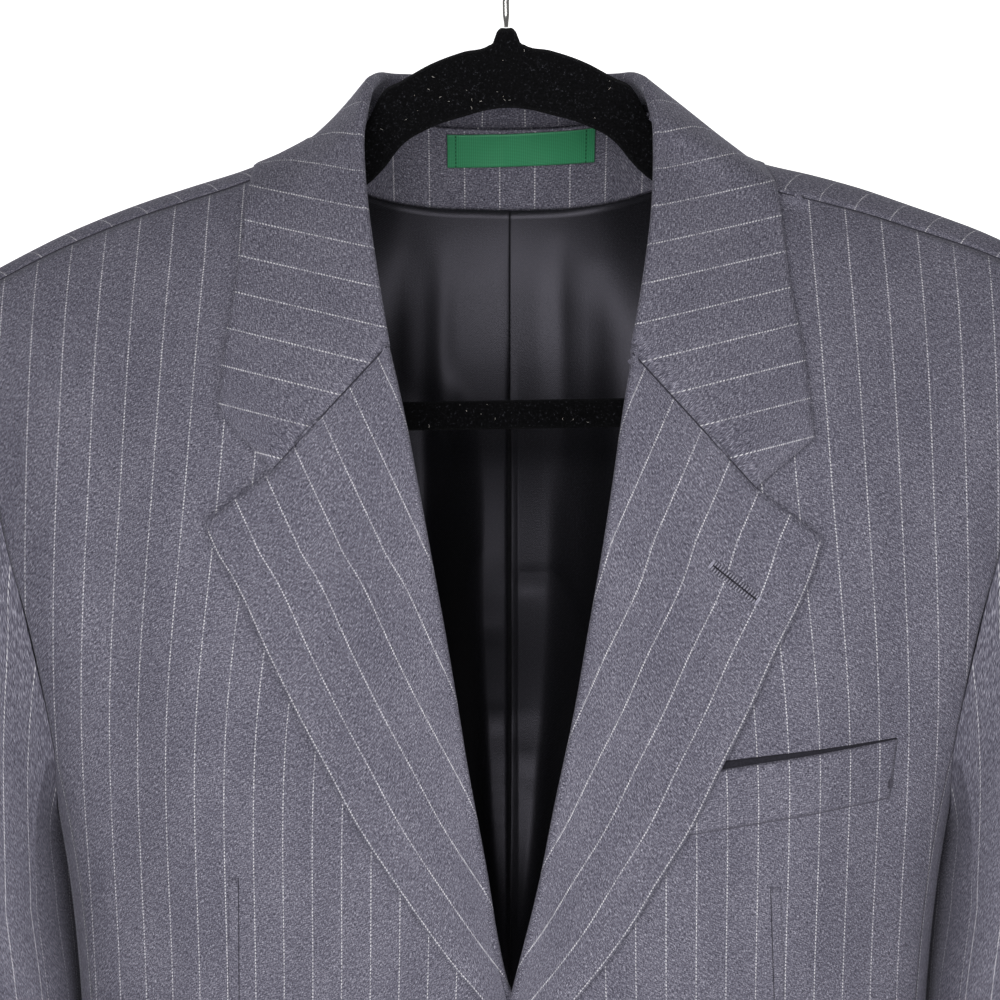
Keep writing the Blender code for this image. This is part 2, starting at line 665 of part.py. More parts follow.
COLLAR_CORNER = {1: (0.1366, -0.2589), -1: (0.1262, -0.2474)}
LAPEL_TIP = {1: (0.1400, -0.3030), -1: (0.1303, -0.2950)}
COLLAR_GORGE_STEPS = 4      # steps of the collar's end along the gorge, then up to its corner
COLLAR_CORNER_STEPS = 2
FOLD_STEPS = 4
COLLAR_LIFT = 0.0046        # of the collar and lapel above the fronts at the fold
EDGE_LIFT = {1: 0.0040, -1: 0.0036}

LAPEL_EDGE = table(
    "height right left",
    (-0.2950, 0.1303, 0.1410),
    (-0.3050, 0.1283, 0.1393),
    (-0.3211, 0.1190, 0.1343),
    (-0.3553, 0.1030, 0.1180),
    (-0.3781, 0.0917, 0.1079),
    (-0.4032, 0.0782, 0.0952),
    (-0.4299, 0.0640, 0.0821),
    (-0.4532, 0.0492, 0.0676),
    (-0.4734, 0.0354, 0.0553),
    (-0.4896, 0.0235, 0.0434),
    (-0.5054, 0.0101, 0.0305),
    (-0.5350, -0.0090, 0.0070),
    (-0.5580, -0.0110, -0.0105),
)
LAPEL_ROWS = 14
LAPEL_COLUMNS = 7


def clear_of_body(points, gap):
    """Moves points that are too near the body's outer face out to a gap from it."""
    points = points.copy()

    def beyond(depth, height):
        front = -front_surface(points[..., 0], height, 1)
        back = back_surface(points[..., 0], height)
        level = np.abs(depth) - np.where(depth < 0.0, front, back)
        above = np.maximum(height - ridge(points[..., 0]), 0.0)
        return np.where(above > 0.0, np.hypot(depth, above), level)

    step = 0.0002
    for _ in range(6):
        depth = points[..., 1]
        height = points[..., 2]
        here = beyond(depth, height)
        along_depth = (beyond(depth + step, height) - beyond(depth - step, height)) / (2 * step)
        along_height = (beyond(depth, height + step) - beyond(depth, height - step)) / (2 * step)
        size = np.hypot(along_depth, along_height).clip(1e-6)
        lacking = np.maximum(gap - here / size.clip(1.0), 0.0)
        points[..., 1] += lacking * along_depth / size
        points[..., 2] += lacking * along_height / size
    return points


def collar_sections():
    """Rows round the neck, columns from the stand over the fold to the collar's edge."""
    stations = np.array([0.0, 0.6, 1.2, 1.8, 2.4, 3.0, 3.5, 4.0, 4.5, 5.0, 5.6, 6.2, 6.8, 7.4, 8.0])
    signed = np.concatenate([-stations[:0:-1], stations])
    fall_steps = COLLAR_GORGE_STEPS + COLLAR_CORNER_STEPS
    rows = []
    for value in signed:
        side = 1 if value >= 0 else -1
        station = abs(value)
        fold = collar_point(COLLAR_FOLD, station, side)
        edge = collar_point(COLLAR_EDGE, station, side)
        stand = collar_point(COLLAR_STAND, station, side)
        settled = fade(station, 4.2, 5.8)
        stand[1] = stand[1] * (1.0 - settled) + settled * (
            front_surface(stand[0], stand[2], side) + SHELL_CLOTH)
        fold[1] = fold[1] * (1.0 - settled) + settled * (
            front_surface(fold[0], fold[2], side) - COLLAR_LIFT + FOLD_RADIUS)
        edge[1] = edge[1] * (1.0 - settled) + settled * (
            front_surface(edge[0], edge[2], side) - EDGE_LIFT[side])
        fall = unit(edge - fold)
        along = collar_along(value)
        up = unit(np.cross(fall, along))
        if up @ outward(fold, station) < 0.0:
            up = -up
        heart = fold + fall * FOLD_RADIUS
        crest = []
        for angle in np.linspace(-90.0, 90.0, FOLD_STEPS + 1):
            turn = math.radians(angle)
            crest.append(heart + FOLD_RADIUS * (-math.cos(turn) * fall + math.sin(turn) * up))
        start = crest[-1]
        share = np.linspace(0.0, 1.0, fall_steps + 1)[1:, None]
        flat = start + (edge - start) * share
        flat = flat + up * 0.0025 * np.sin(math.pi * share) * (1.0 - settled)
        flat = end_of_collar(flat, side, station)
        lifts = COLLAR_LIFT + (EDGE_LIFT[side] - COLLAR_LIFT) * share[:, 0]
        settled_depth = front_surface(flat[:, 0], flat[:, 2], side) - lifts
        flat[:, 1] = flat[:, 1] * (1.0 - settled) + settled_depth * settled
        flat = clear_of_body(flat, SHELL_CLOTH + 1.4 * INSIDE_GAP)
        middle = (stand + crest[0]) / 2.0
        rows.append([stand, middle] + crest + list(flat))
    return np.array(rows)


def collar_point(sizes, station, side):
    """A point of one of the collar's lines."""
    across = side * float(sided(sizes, "station", station, side))
    own_side = "left_height" if side > 0 else "right_height"
    column = own_side if own_side in sizes else "height"
    height = float(smooth(sizes, "station", column, station))
    return np.array([across, float(smooth(sizes, "station", "depth", station)), height])


def collar_along(value):
    """Direction of the collar's fold line."""
    ends = []
    for near in (value - 0.05, value + 0.05):
        near = float(np.clip(near, -8.0, 8.0))
        ends.append(collar_point(COLLAR_FOLD, abs(near), 1 if near >= 0 else -1))
    return unit(ends[1] - ends[0])


def outward(point, station):
    """Roughly away from the neck: up and back behind it, forward on the chest."""
    return np.array([point[0] * 4.0, 0.6 - 0.4 * station, 0.5])


def unit(vector):
    return vector / np.linalg.norm(vector)


def end_of_collar(flat, side, station):
    """Bends the last stations from the straight down to the gorge seam and the end edge."""
    weight = float(np.clip((station - 3.5) / 4.5, 0.0, 1.0)) ** 2
    gorge = np.array(GORGE[side])
    notch = np.array(NOTCH[side])
    corner = np.array(COLLAR_CORNER[side])
    steps = np.arange(1, COLLAR_GORGE_STEPS + 1)[:, None] / COLLAR_GORGE_STEPS
    seam = gorge + (notch - gorge) * (0.04 + 0.96 * steps)
    steps = np.arange(1, COLLAR_CORNER_STEPS + 1)[:, None] / COLLAR_CORNER_STEPS
    end = np.concatenate([seam, notch + (corner - notch) * steps])
    share = np.linspace(0.0, 1.0, len(end) + 1)[1:, None]
    straight = gorge + (corner - gorge) * share
    moved = flat.copy()
    shift = (end - straight) * weight
    moved[:, 0] += side * shift[:, 0]
    moved[:, 2] += shift[:, 1]
    return moved


def lapel(side):
    """Rows down the lapel, columns from its return round the roll to the outer edge."""
    start = np.array(GORGE[side])
    notch = np.array(NOTCH[side])
    tip = np.array(LAPEL_TIP[side])
    down = np.linspace(0.0, 1.0, LAPEL_ROWS + 1)
    roll_height = start[1] + (BREAK_HEIGHT - start[1]) * down
    roll = pair(sided(OPENING, "height", roll_height, side), roll_height)
    roll[0] = start
    edge_height = tip[1] + (LAPEL_EDGE["height"][-1] - tip[1]) * down
    outer = pair(sided(LAPEL_EDGE, "height", edge_height, side), edge_height)
    outer[0] = tip
    gorge_length = np.linalg.norm(notch - start)
    gorge_share = gorge_length / (gorge_length + np.linalg.norm(tip - notch))
    gorge_steps = round(LAPEL_COLUMNS * gorge_share)
    steps = np.linspace(0.0, 1.0, gorge_steps + 1)[:, None]
    seam = start + (notch - start) * steps
    steps = np.linspace(0.0, 1.0, LAPEL_COLUMNS - gorge_steps + 1)[1:, None]
    top = np.concatenate([seam, notch + (tip - notch) * steps])
    bottom = roll[-1] + (outer[-1] - roll[-1]) * np.linspace(0.0, 1.0, LAPEL_COLUMNS + 1)[:, None]
    plan = patch(top, bottom, roll, outer, down)
    across = side * plan[..., 0]
    height = plan[..., 1]
    share = np.linspace(0.0, 1.0, LAPEL_COLUMNS + 1)[None]
    lift = COLLAR_LIFT + (EDGE_LIFT[side] - COLLAR_LIFT) * share
    flat = np.stack([across, front_surface(across, height, side) - lift, height], axis=-1)
    rows = []
    for row in flat:
        fall = unit((row[1] - row[0]) * np.array([1.0, 1.0, 0.0]))
        up = np.array([-fall[1], fall[0], 0.0])
        if up[1] > 0.0:
            up = -up
        heart = row[0] + fall * FOLD_RADIUS - up * FOLD_RADIUS
        hook = []
        for angle in np.linspace(-90.0, 90.0, FOLD_STEPS + 1):
            turn = math.radians(angle)
            hook.append(heart + FOLD_RADIUS * (-math.cos(turn) * fall + math.sin(turn) * up))
        rows.append(hook + list(row[1:]))
    return np.array(rows)


# ---- What lies on the panels ----
WELT_CORNERS = table(       # breast welt, on the wearer's left front
    "across height",
    (0.0780, -0.4065),
    (0.1754, -0.3924),
    (0.1722, -0.4185),
    (0.0740, -0.4335),
)
FLAP_CORNERS = table(       # hip pocket flap
    "across height",
    (0.0560, -0.6720),
    (0.1760, -0.6790),
    (0.1780, -0.7320),
    (0.0580, -0.7270),
)


def on_front(corners, side, columns, rows, lift):
    """A four-cornered piece laid on a front."""
    points = pair(corners["across"], corners["height"])
    share = np.linspace(0.0, 1.0, columns + 1)[None, :, None]
    down = np.linspace(0.0, 1.0, rows + 1)[:, None, None]
    top = points[0] * (1.0 - share) + points[1] * share
    bottom = points[3] * (1.0 - share) + points[2] * share
    plan = top * (1.0 - down) + bottom * down
    across = side * plan[..., 0]
    height = plan[..., 1]
    out = lift * slant(front_surface, across, height, side)
    return np.stack([across, front_surface(across, height, side) - out, height], axis=-1)


def on_back_inside(across, height, depth):
    """Points on the inside of the back, at a depth in from its outer face."""
    slack = 0.0046 * fade(np.abs(across), 0.046, 0.062)
    inward = (depth + slack) * slant(back_surface, across, height)
    return np.stack([across, back_surface(across, height) - inward, height + 0.0 * across], axis=-1)


FACING_BOTTOM = table(
    "across height",
    (0.000, -0.1440),
    (0.040, -0.1425),
    (0.065, -0.1385),
    (0.080, -0.1345),
)
FACING_END_DROP = 0.0230    # of the facing's ends below the ridge
FACING_DEPTH = BACK_CLOTH + INSIDE_GAP + TRIM_CLOTH
LABEL = {"left": -0.0272, "right": 0.0437, "top": -0.1083, "bottom": -0.1228, "rise": 0.0020}


def neck_facing():
    """The strip inside the back neck."""
    across = np.linspace(-0.072, 0.072, 13)[None]
    top = smooth(BACK_NECK, "across", "height", np.abs(across)) - 0.0006
    top = np.minimum(top, ridge(across) - FACING_END_DROP * fade(np.abs(across), 0.030, 0.070))
    bottom = smooth(FACING_BOTTOM, "across", "height", np.abs(across))
    down = np.linspace(0.0, 1.0, 4)[:, None]
    height = top * (1.0 - down) + bottom * down
    return on_back_inside(across + 0.0 * height, height, FACING_DEPTH)


def neck_label():
    """The label's bare place, sewn on the neck facing."""
    across = np.linspace(LABEL["left"], LABEL["right"], 7)[None]
    tilt = (across - LABEL["left"]) / (LABEL["right"] - LABEL["left"]) * LABEL["rise"]
    down = np.linspace(0.0, 1.0, 3)[:, None]
    level = LABEL["top"] * (1.0 - down) + LABEL["bottom"] * down
    height = level - LABEL["rise"] + tilt
    return on_back_inside(across + 0.0 * height, height, FACING_DEPTH + 2.0 * LAYER_GAP + LABEL_CLOTH)


# ---- Back lining ----
# The centre pleat in section: each row is a place across and how far in from the back it lies.
PLEAT = table(
    "across lift",
    (-0.0500, 0.0010),
    (-0.0380, 0.0016),
    (-0.0280, 0.0022),
    (-0.0200, 0.0028),
    (-0.0120, 0.0033),
    (-0.0060, 0.0035),
    (0.0020, 0.0036),
    (0.0031, 0.0025),
    (0.0020, 0.0014),
    (-0.0090, 0.0013),
    (-0.0097, 0.00115),
    (-0.0090, 0.0010),
    (0.0060, 0.0010),
    (0.0100, 0.0010),
    (0.0150, 0.0010),
    (0.0220, 0.0010),
    (0.0320, 0.0010),
)
LINING_FOLDS = table(
    "top bottom top_across bottom_across half_width lift",
    (-0.215, -0.540, -0.0070, -0.0030, 0.0090, 0.0340),
    (-0.205, -0.520, 0.0135, 0.0110, 0.0105, 0.0310),
)
LINING_SIDES = (0.046, 0.066, 0.090, 0.120)    # columns beside the pleat
LINING_EDGE_TURN = 4.0      # degrees that the lining stops short of the armhole and side seam
LINING_SHOULDER_DROP = 0.030
LINING_HEM = -0.860
LINING_ROWS = (7, 13)       # over the rounded top of the back, and from there to the hem


def back_lining():
    """Rows and columns of the lining from side to side, with its pleat and its loose folds."""
    down = np.concatenate([np.linspace(0.0, 0.17, LINING_ROWS[0] + 1)[:-1],
                           np.linspace(0.17, 1.0, LINING_ROWS[1] + 1)])
    inner = PLEAT["across"]
    right = -np.array(LINING_SIDES)[::-1] - 0.010
    left = np.array(LINING_SIDES)
    plan = np.concatenate([right, inner, left])
    lifts = np.concatenate([np.full(len(right), 0.0010), PLEAT["lift"], np.full(len(left), 0.0010)])
    edge = 0.150
    rows = []
    for share in down:
        near = np.concatenate([[-edge], plan, [edge]])
        lift = np.concatenate([[0.0010], lifts, [0.0010]])
        across = near
        for _ in range(6):
            below_facing = smooth(FACING_BOTTOM, "across", "height", np.abs(across)) - 0.0008
            below_seam = ridge(across) - LINING_SHOULDER_DROP
            top = below_facing + (below_seam - below_facing) * fade(np.abs(across), 0.070, 0.092)
            first = run_of(ridge(across) - top, BACK_SLOPE)
            last = run_of(ridge(across) - LINING_HEM, BACK_SLOPE)
            height = ridge(across) - drop_of(first + (last - first) * share, BACK_SLOPE)[0]
            widest = smooth(BODY, "height", "half_width", height)
            armhole = smooth(ARMHOLE, "height", "back", height) - LINING_EDGE_TURN
            limit = widest * np.sin(np.radians(armhole)) ** (2.0 / BODY_SQUARENESS)
            across = near * (1.0 + (limit / edge - 1.0) * fade(np.abs(near), 0.020, edge))
        lift = lift + lining_folds(across, height)
        slack = 0.0024 * fade(np.abs(across), 0.045, 0.070)
        inward = (BACK_CLOTH + INSIDE_GAP + slack + lift) * slant(back_surface, across, height)
        depth = back_surface(across, height) - inward
        rows.append(np.stack([across, depth, height], axis=-1))
    return np.array(rows)


def lining_folds(across, height):
    """How far the lining's loose folds stand forward."""
    lift = np.zeros(across.shape)
    for row in range(len(LINING_FOLDS["top"])):
        top = LINING_FOLDS["top"][row]
        bottom = LINING_FOLDS["bottom"][row]
        along = np.clip((height - top) / (bottom - top), 0.0, 1.0)
        start = LINING_FOLDS["top_across"][row]
        middle = start + (LINING_FOLDS["bottom_across"][row] - start) * along
        shape = np.exp(-np.abs((across - middle) / LINING_FOLDS["half_width"][row]) ** 3)
        lift = np.maximum(lift, LINING_FOLDS["lift"][row] * shape * np.sin(math.pi * along) ** 0.8)
    return lift


# ---- Buttons ----
BUTTON_RADIUS = 0.0100
BUTTON_THICKNESS = 0.0036
BUTTON_RIM = 0.0020         # width of the raised rim
BUTTON_DISH = 0.0009        # depth of the dished middle
BUTTONS = {"button_upper": -0.5740, "button_lower": -0.6840}
BUTTON_STEPS = 24


def add_button(name, height, finish, collection):
    """A dished button lying on the left front, turned from its profile."""
    seat = front_surface(0.0, height, 1)
    profile = (
        (0.0, BUTTON_THICKNESS - BUTTON_DISH),
        (BUTTON_RADIUS - BUTTON_RIM, BUTTON_THICKNESS - BUTTON_DISH),
        (BUTTON_RADIUS - BUTTON_RIM * 0.5, BUTTON_THICKNESS),
        (BUTTON_RADIUS - 0.0006, BUTTON_THICKNESS - 0.0003),
        (BUTTON_RADIUS, BUTTON_THICKNESS * 0.6),
        (BUTTON_RADIUS - 0.0012, 0.0),
        (0.0, 0.0),
    )
    mesh = bpy.data.meshes.new(name)
    points = [(radius, 0.0, rise) for radius, rise in profile]
    mesh.from_pydata(points, [(place, place + 1) for place in range(len(points) - 1)], [])
    made = add_object(name, mesh, finish, collection)
    turned = made.modifiers.new("Turned", "SCREW")
    turned.steps = BUTTON_STEPS
    turned.render_steps = BUTTON_STEPS
    turned.use_merge_vertices = True
    turned.merge_threshold = 0.0001
    turned.use_smooth_shade = True
    made.rotation_euler = (math.radians(90.0), 0.0, 0.0)
    made.location = (0.0, float(seat) - LAYER_GAP - 0.0004, height)
    return made


# ---- Hanger ----
HANGER_TILT = 1.0           # degrees that the wearer's left side hangs higher
HOOK_WIRE = 0.0033          # diameter of the hook's wire
HOOK_RADIUS = 0.0210        # of the wire's middle line
HANGER_DEPTH = 0.0060       # from front to back
NECK_DEPTH = 0.0090         # of the round neck that the hook goes into
ARMS = table(               # the arms from the middle out, with the neck on top
    "across top bottom",
    (0.0000, -0.0662, -0.1034),
    (0.0035, -0.0667, -0.1035),
    (0.0050, -0.0690, -0.1036),
    (0.0060, -0.0722, -0.1038),
    (0.0085, -0.0741, -0.1041),
    (0.0200, -0.0768, -0.1070),
    (0.0370, -0.0830, -0.1125),
    (0.0500, -0.0903, -0.1205),
    (0.0580, -0.1045, -0.1305),
    (0.0665, -0.1180, -0.1385),
    (0.0800, -0.1225, -0.1445),
    (0.1000, -0.1288, -0.1520),
    (0.1180, -0.1350, -0.1575),
    (0.1450, -0.1427, -0.1640),
    (0.1650, -0.1487, -0.1690),
    (0.1900, -0.1580, -0.1765),
    (0.2060, -0.1650, -0.1805),
    (0.2120, -0.1685, -0.1785),
)
BAR_HEIGHT = -0.2462
BAR_THICKNESS = 0.0134
BAR_DEPTH = 0.0060
BAR_HALF_WIDTH = 0.196
BAR_CORNER = 0.040
SECTION_POINTS = 10


def loft(name, sections, finish, collection):
    """A closed body through rings of points."""
    count = len(sections[0])
    work = bmesh.new()
    rings = [[work.verts.new(tuple(point)) for point in section] for section in sections]
    for near, far in zip(rings, rings[1:]):
        for place in range(count):
            after = (place + 1) % count
            work.faces.new((near[place], near[after], far[after], far[place]))
    work.faces.new(rings[0][::-1])
    work.faces.new(rings[-1])
    bmesh.ops.recalc_face_normals(work, faces=work.faces)
    mesh = bpy.data.meshes.new(name)
    work.to_mesh(mesh)
    work.free()
    mesh.shade_smooth()
    return add_object(name, mesh, finish, collection)


def tilted(points):
    """Turns hanger points about the hook's bearing point."""
    angle = math.radians(HANGER_TILT)
    across = points[..., 0] * math.cos(angle) - points[..., 2] * math.sin(angle)
    height = points[..., 0] * math.sin(angle) + points[..., 2] * math.cos(angle)
    return np.stack([across, points[..., 1], height], axis=-1)


def section_ring(centre, direction, half_height, half_depth):
    """A rounded section: half_height along a direction in the picture plane, depth along Y."""
    angles = np.linspace(0.0, 2.0 * math.pi, SECTION_POINTS, endpoint=False) + math.pi / SECTION_POINTS
    up = np.sign(np.sin(angles)) * np.abs(np.sin(angles)) ** 0.75 * half_height
    back = np.sign(np.cos(angles)) * np.abs(np.cos(angles)) ** 0.6 * half_depth
    return centre + up[:, None] * direction + back[:, None] * np.array([0.0, 1.0, 0.0])


def hanger_arms(finish, collection):
    """Both arms and the neck, through upright sections."""
    across = np.concatenate([-ARMS["across"][:0:-1], ARMS["across"]])
    top = np.concatenate([ARMS["top"][:0:-1], ARMS["top"]])
    bottom = np.concatenate([ARMS["bottom"][:0:-1], ARMS["bottom"]])
    upright = np.array([0.0, 0.0, 1.0])
    sections = []
    for place, high, low in zip(across, top, bottom):
        narrow = 0.55 if abs(place) > 0.210 else 1.0
        near = fade(abs(place), 0.009, 0.003)
        depth = HANGER_DEPTH + (NECK_DEPTH - HANGER_DEPTH) * near
        centre = np.array([place, 0.0, (high + low) / 2.0])
        sections.append(tilted(section_ring(centre, upright, (high - low) / 2.0, depth / 2.0 * narrow)))
    loft("hanger_arms", sections, finish, collection)


def hanger_bar(finish, collection):
    """The trouser bar, with its ends bent up to the arms."""
    arm_under = smooth(ARMS, "across", "bottom", BAR_HALF_WIDTH)
    top = float(arm_under) - 0.0012
    middle = np.array([BAR_HALF_WIDTH - BAR_CORNER, BAR_HEIGHT + BAR_CORNER])
    path = [(BAR_HALF_WIDTH, top)]
    for turn in np.radians(np.linspace(0.0, 90.0, 7)):
        path.append(tuple(middle + BAR_CORNER * np.array([math.cos(turn), -math.sin(turn)])))
    path += [(0.090, BAR_HEIGHT), (0.030, BAR_HEIGHT)]
    half = np.array(path)
    line = np.concatenate([half, half[::-1] * np.array([-1.0, 1.0])])
    sections = []
    for place in range(len(line)):
        before = line[max(place - 1, 0)]
        after = line[min(place + 1, len(line) - 1)]
        along = unit(after - before)
        direction = np.array([along[1], 0.0, -along[0]])
        if place in (0, len(line) - 1):
            direction = np.array([1.0, 0.0, 0.0])
        centre = np.array([line[place, 0], 0.0, line[place, 1]])
        sections.append(tilted(section_ring(centre, direction, BAR_THICKNESS / 2.0, BAR_DEPTH / 2.0)))
    loft("hanger_bar", sections, finish, collection)


def hanger_hook(finish, collection):
    """The hook's wire: a straight stem, a bend to one side and most of a circle."""
    middle = HOOK_WIRE / 2.0 - HOOK_RADIUS
    points = [(0.0, ARMS["top"][0] + 0.0004), (0.0, -0.0600), (0.0, -0.0540)]
    start = math.radians(-62.0)
    entry = (HOOK_RADIUS * math.cos(start), middle + HOOK_RADIUS * math.sin(start))
    for share in (0.25, 0.5, 0.75):
        ease = share * share * (3.0 - 2.0 * share)
        points.append((entry[0] * ease, -0.0540 + (entry[1] + 0.0540) * share))
    for angle in np.linspace(-62.0, 205.0, 26):
        turn = math.radians(angle)
        points.append((HOOK_RADIUS * math.cos(turn), middle + HOOK_RADIUS * math.sin(turn)))
    wire = bpy.data.curves.new("hanger_hook", "CURVE")
    wire.dimensions = "3D"
    wire.bevel_depth = HOOK_WIRE / 2.0
    wire.bevel_resolution = 2
    wire.use_fill_caps = True
    wire.render_resolution_u = 0
    spline = wire.splines.new("POLY")
    spline.points.add(len(points) - 1)
    spine = tilted(np.array([(across, 0.0, height) for across, height in points]))
    for knot, place in zip(spline.points, spine):
        knot.co = (*place, 1.0)
    add_object("hanger_hook", wire, finish, collection)


def main():
    for item in list(bpy.data.objects):
        bpy.data.objects.remove(item)
    blazer = bpy.data.collections.new("blazer_on_hanger")
    bpy.context.scene.collection.children.link(blazer)

    worsted = material("pinstripe_worsted", (0.115, 0.110, 0.138), 0.85)
    lining = material("twill_lining", (0.030, 0.029, 0.032), 0.55)
    label = material("label_tape", (0.030, 0.150, 0.075), 0.75)
    horn = material("button_resin", (0.035, 0.033, 0.036), 0.35)
    flock = material("black_flock", (0.008, 0.008, 0.009), 0.95)
    steel = material("plated_wire", (0.75, 0.75, 0.76), 0.18, 1.0)

    for side, name in ((1, "left"), (-1, "right")):
        sheet("front_" + name, trimmed(front_panel(side), first=0.0), SHELL_CLOTH,
              (0, -1, 0), worsted, blazer)
        sheet("back_" + name, trimmed(back_panel(side)), BACK_CLOTH, (0, 1, 0), worsted, blazer)
        sheet("side_" + name, trimmed(underarm_panel(side), first=SEAM_GAP), BACK_CLOTH,
              (side, 0, 0), worsted, blazer)
        whole = sleeve(side)
        upper = np.concatenate([whole[:, BACK_SLEEVE_SEAM:-1], whole[:, :FRONT_SLEEVE_SEAM + 1]], axis=1)
        under = whole[:, FRONT_SLEEVE_SEAM:BACK_SLEEVE_SEAM + 1]
        gap = sleeve_seam_gap()
        sheet("upper_sleeve_" + name, trimmed(upper, top=0.0, first=gap, last=gap), SHELL_CLOTH,
              (side, 0, 0), worsted, blazer)
        sheet("under_sleeve_" + name, trimmed(under, top=0.0, first=gap, last=gap), SHELL_CLOTH,
              (-side, 0, 0), worsted, blazer)
        sheet("lapel_" + name, trimmed(lapel(side), first=0.0, last=0.0), SHELL_CLOTH,
              (0, -1, 0), worsted, blazer)
        sheet("flap_" + name, on_front(FLAP_CORNERS, side, 6, 2, 2.0 * LAYER_GAP + SHELL_CLOTH),
              SHELL_CLOTH, (0, -1, 0), worsted, blazer)
    collar = trimmed(collar_sections(), top=SEAM_GAP / 2, bottom=SEAM_GAP / 2, first=0.0, last=0.0)
    sheet("collar", collar, SHELL_CLOTH, (0, -1, 0.3), worsted, blazer)
    sheet("breast_welt", on_front(WELT_CORNERS, 1, 6, 2, LAYER_GAP + TRIM_CLOTH), TRIM_CLOTH,
          (0, -1, 0), worsted, blazer)
    sheet("neck_facing", neck_facing(), TRIM_CLOTH, (0, -1, 0), worsted, blazer)
    sheet("neck_label", neck_label(), LABEL_CLOTH, (0, -1, 0), label, blazer)
    sheet("back_lining", back_lining(), LINING_CLOTH, (0, -1, 0), lining, blazer)
    for name, height in BUTTONS.items():
        add_button(name, height, horn, blazer)
    hanger_arms(flock, blazer)
    hanger_bar(flock, blazer)
    hanger_hook(steel, blazer)


main()
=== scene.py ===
"""How the two-button blazer and its flocked hanger look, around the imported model.

Metres, +Z up, the front towards -Y. Cloth pieces follow the same tables as their solids, with
finer rows, creases and the grain of the cloth. Grain is the place on the cut cloth: the first
number counts stripes across it, the second is metres along them.
"""
import math
import random

import bmesh
import bpy
import numpy as np
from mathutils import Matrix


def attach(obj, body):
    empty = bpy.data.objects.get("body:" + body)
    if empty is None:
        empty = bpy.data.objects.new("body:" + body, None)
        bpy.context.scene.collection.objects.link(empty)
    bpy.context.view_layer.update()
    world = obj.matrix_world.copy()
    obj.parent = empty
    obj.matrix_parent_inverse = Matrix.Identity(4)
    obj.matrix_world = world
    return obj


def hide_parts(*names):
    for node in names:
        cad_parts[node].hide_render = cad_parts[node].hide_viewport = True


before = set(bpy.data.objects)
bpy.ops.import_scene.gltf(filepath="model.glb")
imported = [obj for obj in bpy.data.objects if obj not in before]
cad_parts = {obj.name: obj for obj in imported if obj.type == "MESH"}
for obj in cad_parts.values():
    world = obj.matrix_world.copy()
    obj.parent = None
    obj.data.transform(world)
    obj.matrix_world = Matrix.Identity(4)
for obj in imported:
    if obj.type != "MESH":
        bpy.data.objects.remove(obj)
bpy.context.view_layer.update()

# ---- Driving dimensions ----
SHELL_CLOTH = 0.0016        # wall of the fronts, sleeves, collar and lapels
BACK_CLOTH = 0.0014         # wall of the backs and underarm panels, which have no canvas
TRIM_CLOTH = 0.0012         # wall of the pocket welt and the neck facing
LINING_CLOTH = 0.0010
LABEL_CLOTH = 0.0010
SEAM_GAP = 0.0002           # between two pieces at a seam
LAYER_GAP = 0.0004          # between two layers that lie on each other
INSIDE_GAP = 0.0016         # between the back and what hangs inside it
ARMHOLE_GAP = 0.0001

SHOULDER_TIP = 0.238        # half the width across the shoulders
NECK_POINT = 0.0675         # half the width of the neck hole at the shoulder seam
BODY_SQUARENESS = 2.6       # 2 is an ellipse, more is squarer
SIDE_SEAM_TURN = 71.0       # degrees round the body, 0 at the middle and 90 at the side
UNDERARM_HEIGHT = -0.437
SIDE_SEAM_TOP = -0.400
BREAK_HEIGHT = -0.556       # where the lapel's roll ends at the front edge
FOLD_RADIUS = 0.0030        # of the rolled edge of the lapels and the collar

FRONT_SLOPE = (0.170, 1.6)  # height over which the chest rounds off, and how squarely
BACK_SLOPE = (0.110, 2.0)

NOT_LENGTHS = "side turn station point angle narrowing half_angle lean front_turn back_turn"


def table(columns, rows):
    """Rows of sizes under named columns; lengths are written in millimetres and kept in metres."""
    names = columns.split()
    sizes = np.array(rows.split(), float).reshape(-1, len(names))
    return {name: sizes[:, place] / (1.0 if name in NOT_LENGTHS.split() else 1000.0)
            for place, name in enumerate(names)}


def rows_of(sizes):
    """Each row of a table, as its sizes by name."""
    return [dict(zip(sizes, row)) for row in zip(*sizes.values())]


def smooth(sizes, key, name, at):
    """Reads a column where its key has the given values, on a smooth curve through the rows."""
    order = np.argsort(sizes[key])
    keys = sizes[key][order]
    values = sizes[name][order]
    slopes = np.gradient(values, keys)
    at = np.clip(np.asarray(at, float), keys[0], keys[-1])
    row = np.clip(np.searchsorted(keys, at, side="right") - 1, 0, len(keys) - 2)
    span = keys[row + 1] - keys[row]
    part = (at - keys[row]) / span
    rest = 1.0 - part
    return (rest * rest * (1.0 + 2.0 * part) * values[row]
            + part * part * (3.0 - 2.0 * part) * values[row + 1]
            + part * rest * (rest * slopes[row] - part * slopes[row + 1]) * span)


def fade(value, start, end):
    """0 at start, 1 at end, with soft ends between them."""
    part = np.clip((np.asarray(value, float) - start) / (end - start), 0.0, 1.0)
    return part * part * (3.0 - 2.0 * part)


# ---- The hung body: level sections from the shoulders to the hem ----
BODY = table("height half_width front_depth back_depth", """
    -100 300 90 88
    -180 272 93 91
    -230 259 95 92
    -290 245 96 91
    -345 229 97 89
    -395 214 97 86
    -440 204 96 83
    -506 196 94 78
    -550 194 92 76
    -620 199 91 78
    -700 210 92 83
    -790 223 94 88
    -885 235 96 92
""")

# The ridge of the shoulders, from the neck out. The wearer's left hangs a little higher.
RIDGE = table("across right left", """
    0 -72 -72
    30 -79 -79
    55 -93.5 -93
    70 -104.5 -103.5
    85 -115.5 -114
    100 -123.5 -122
    118 -131.3 -128.5
    145 -140 -135
    165 -146.5 -140.5
    190 -156 -149
    206 -163 -154.5
    223 -171.5 -161
    238 -179.5 -168
    270 -196 -184
""")

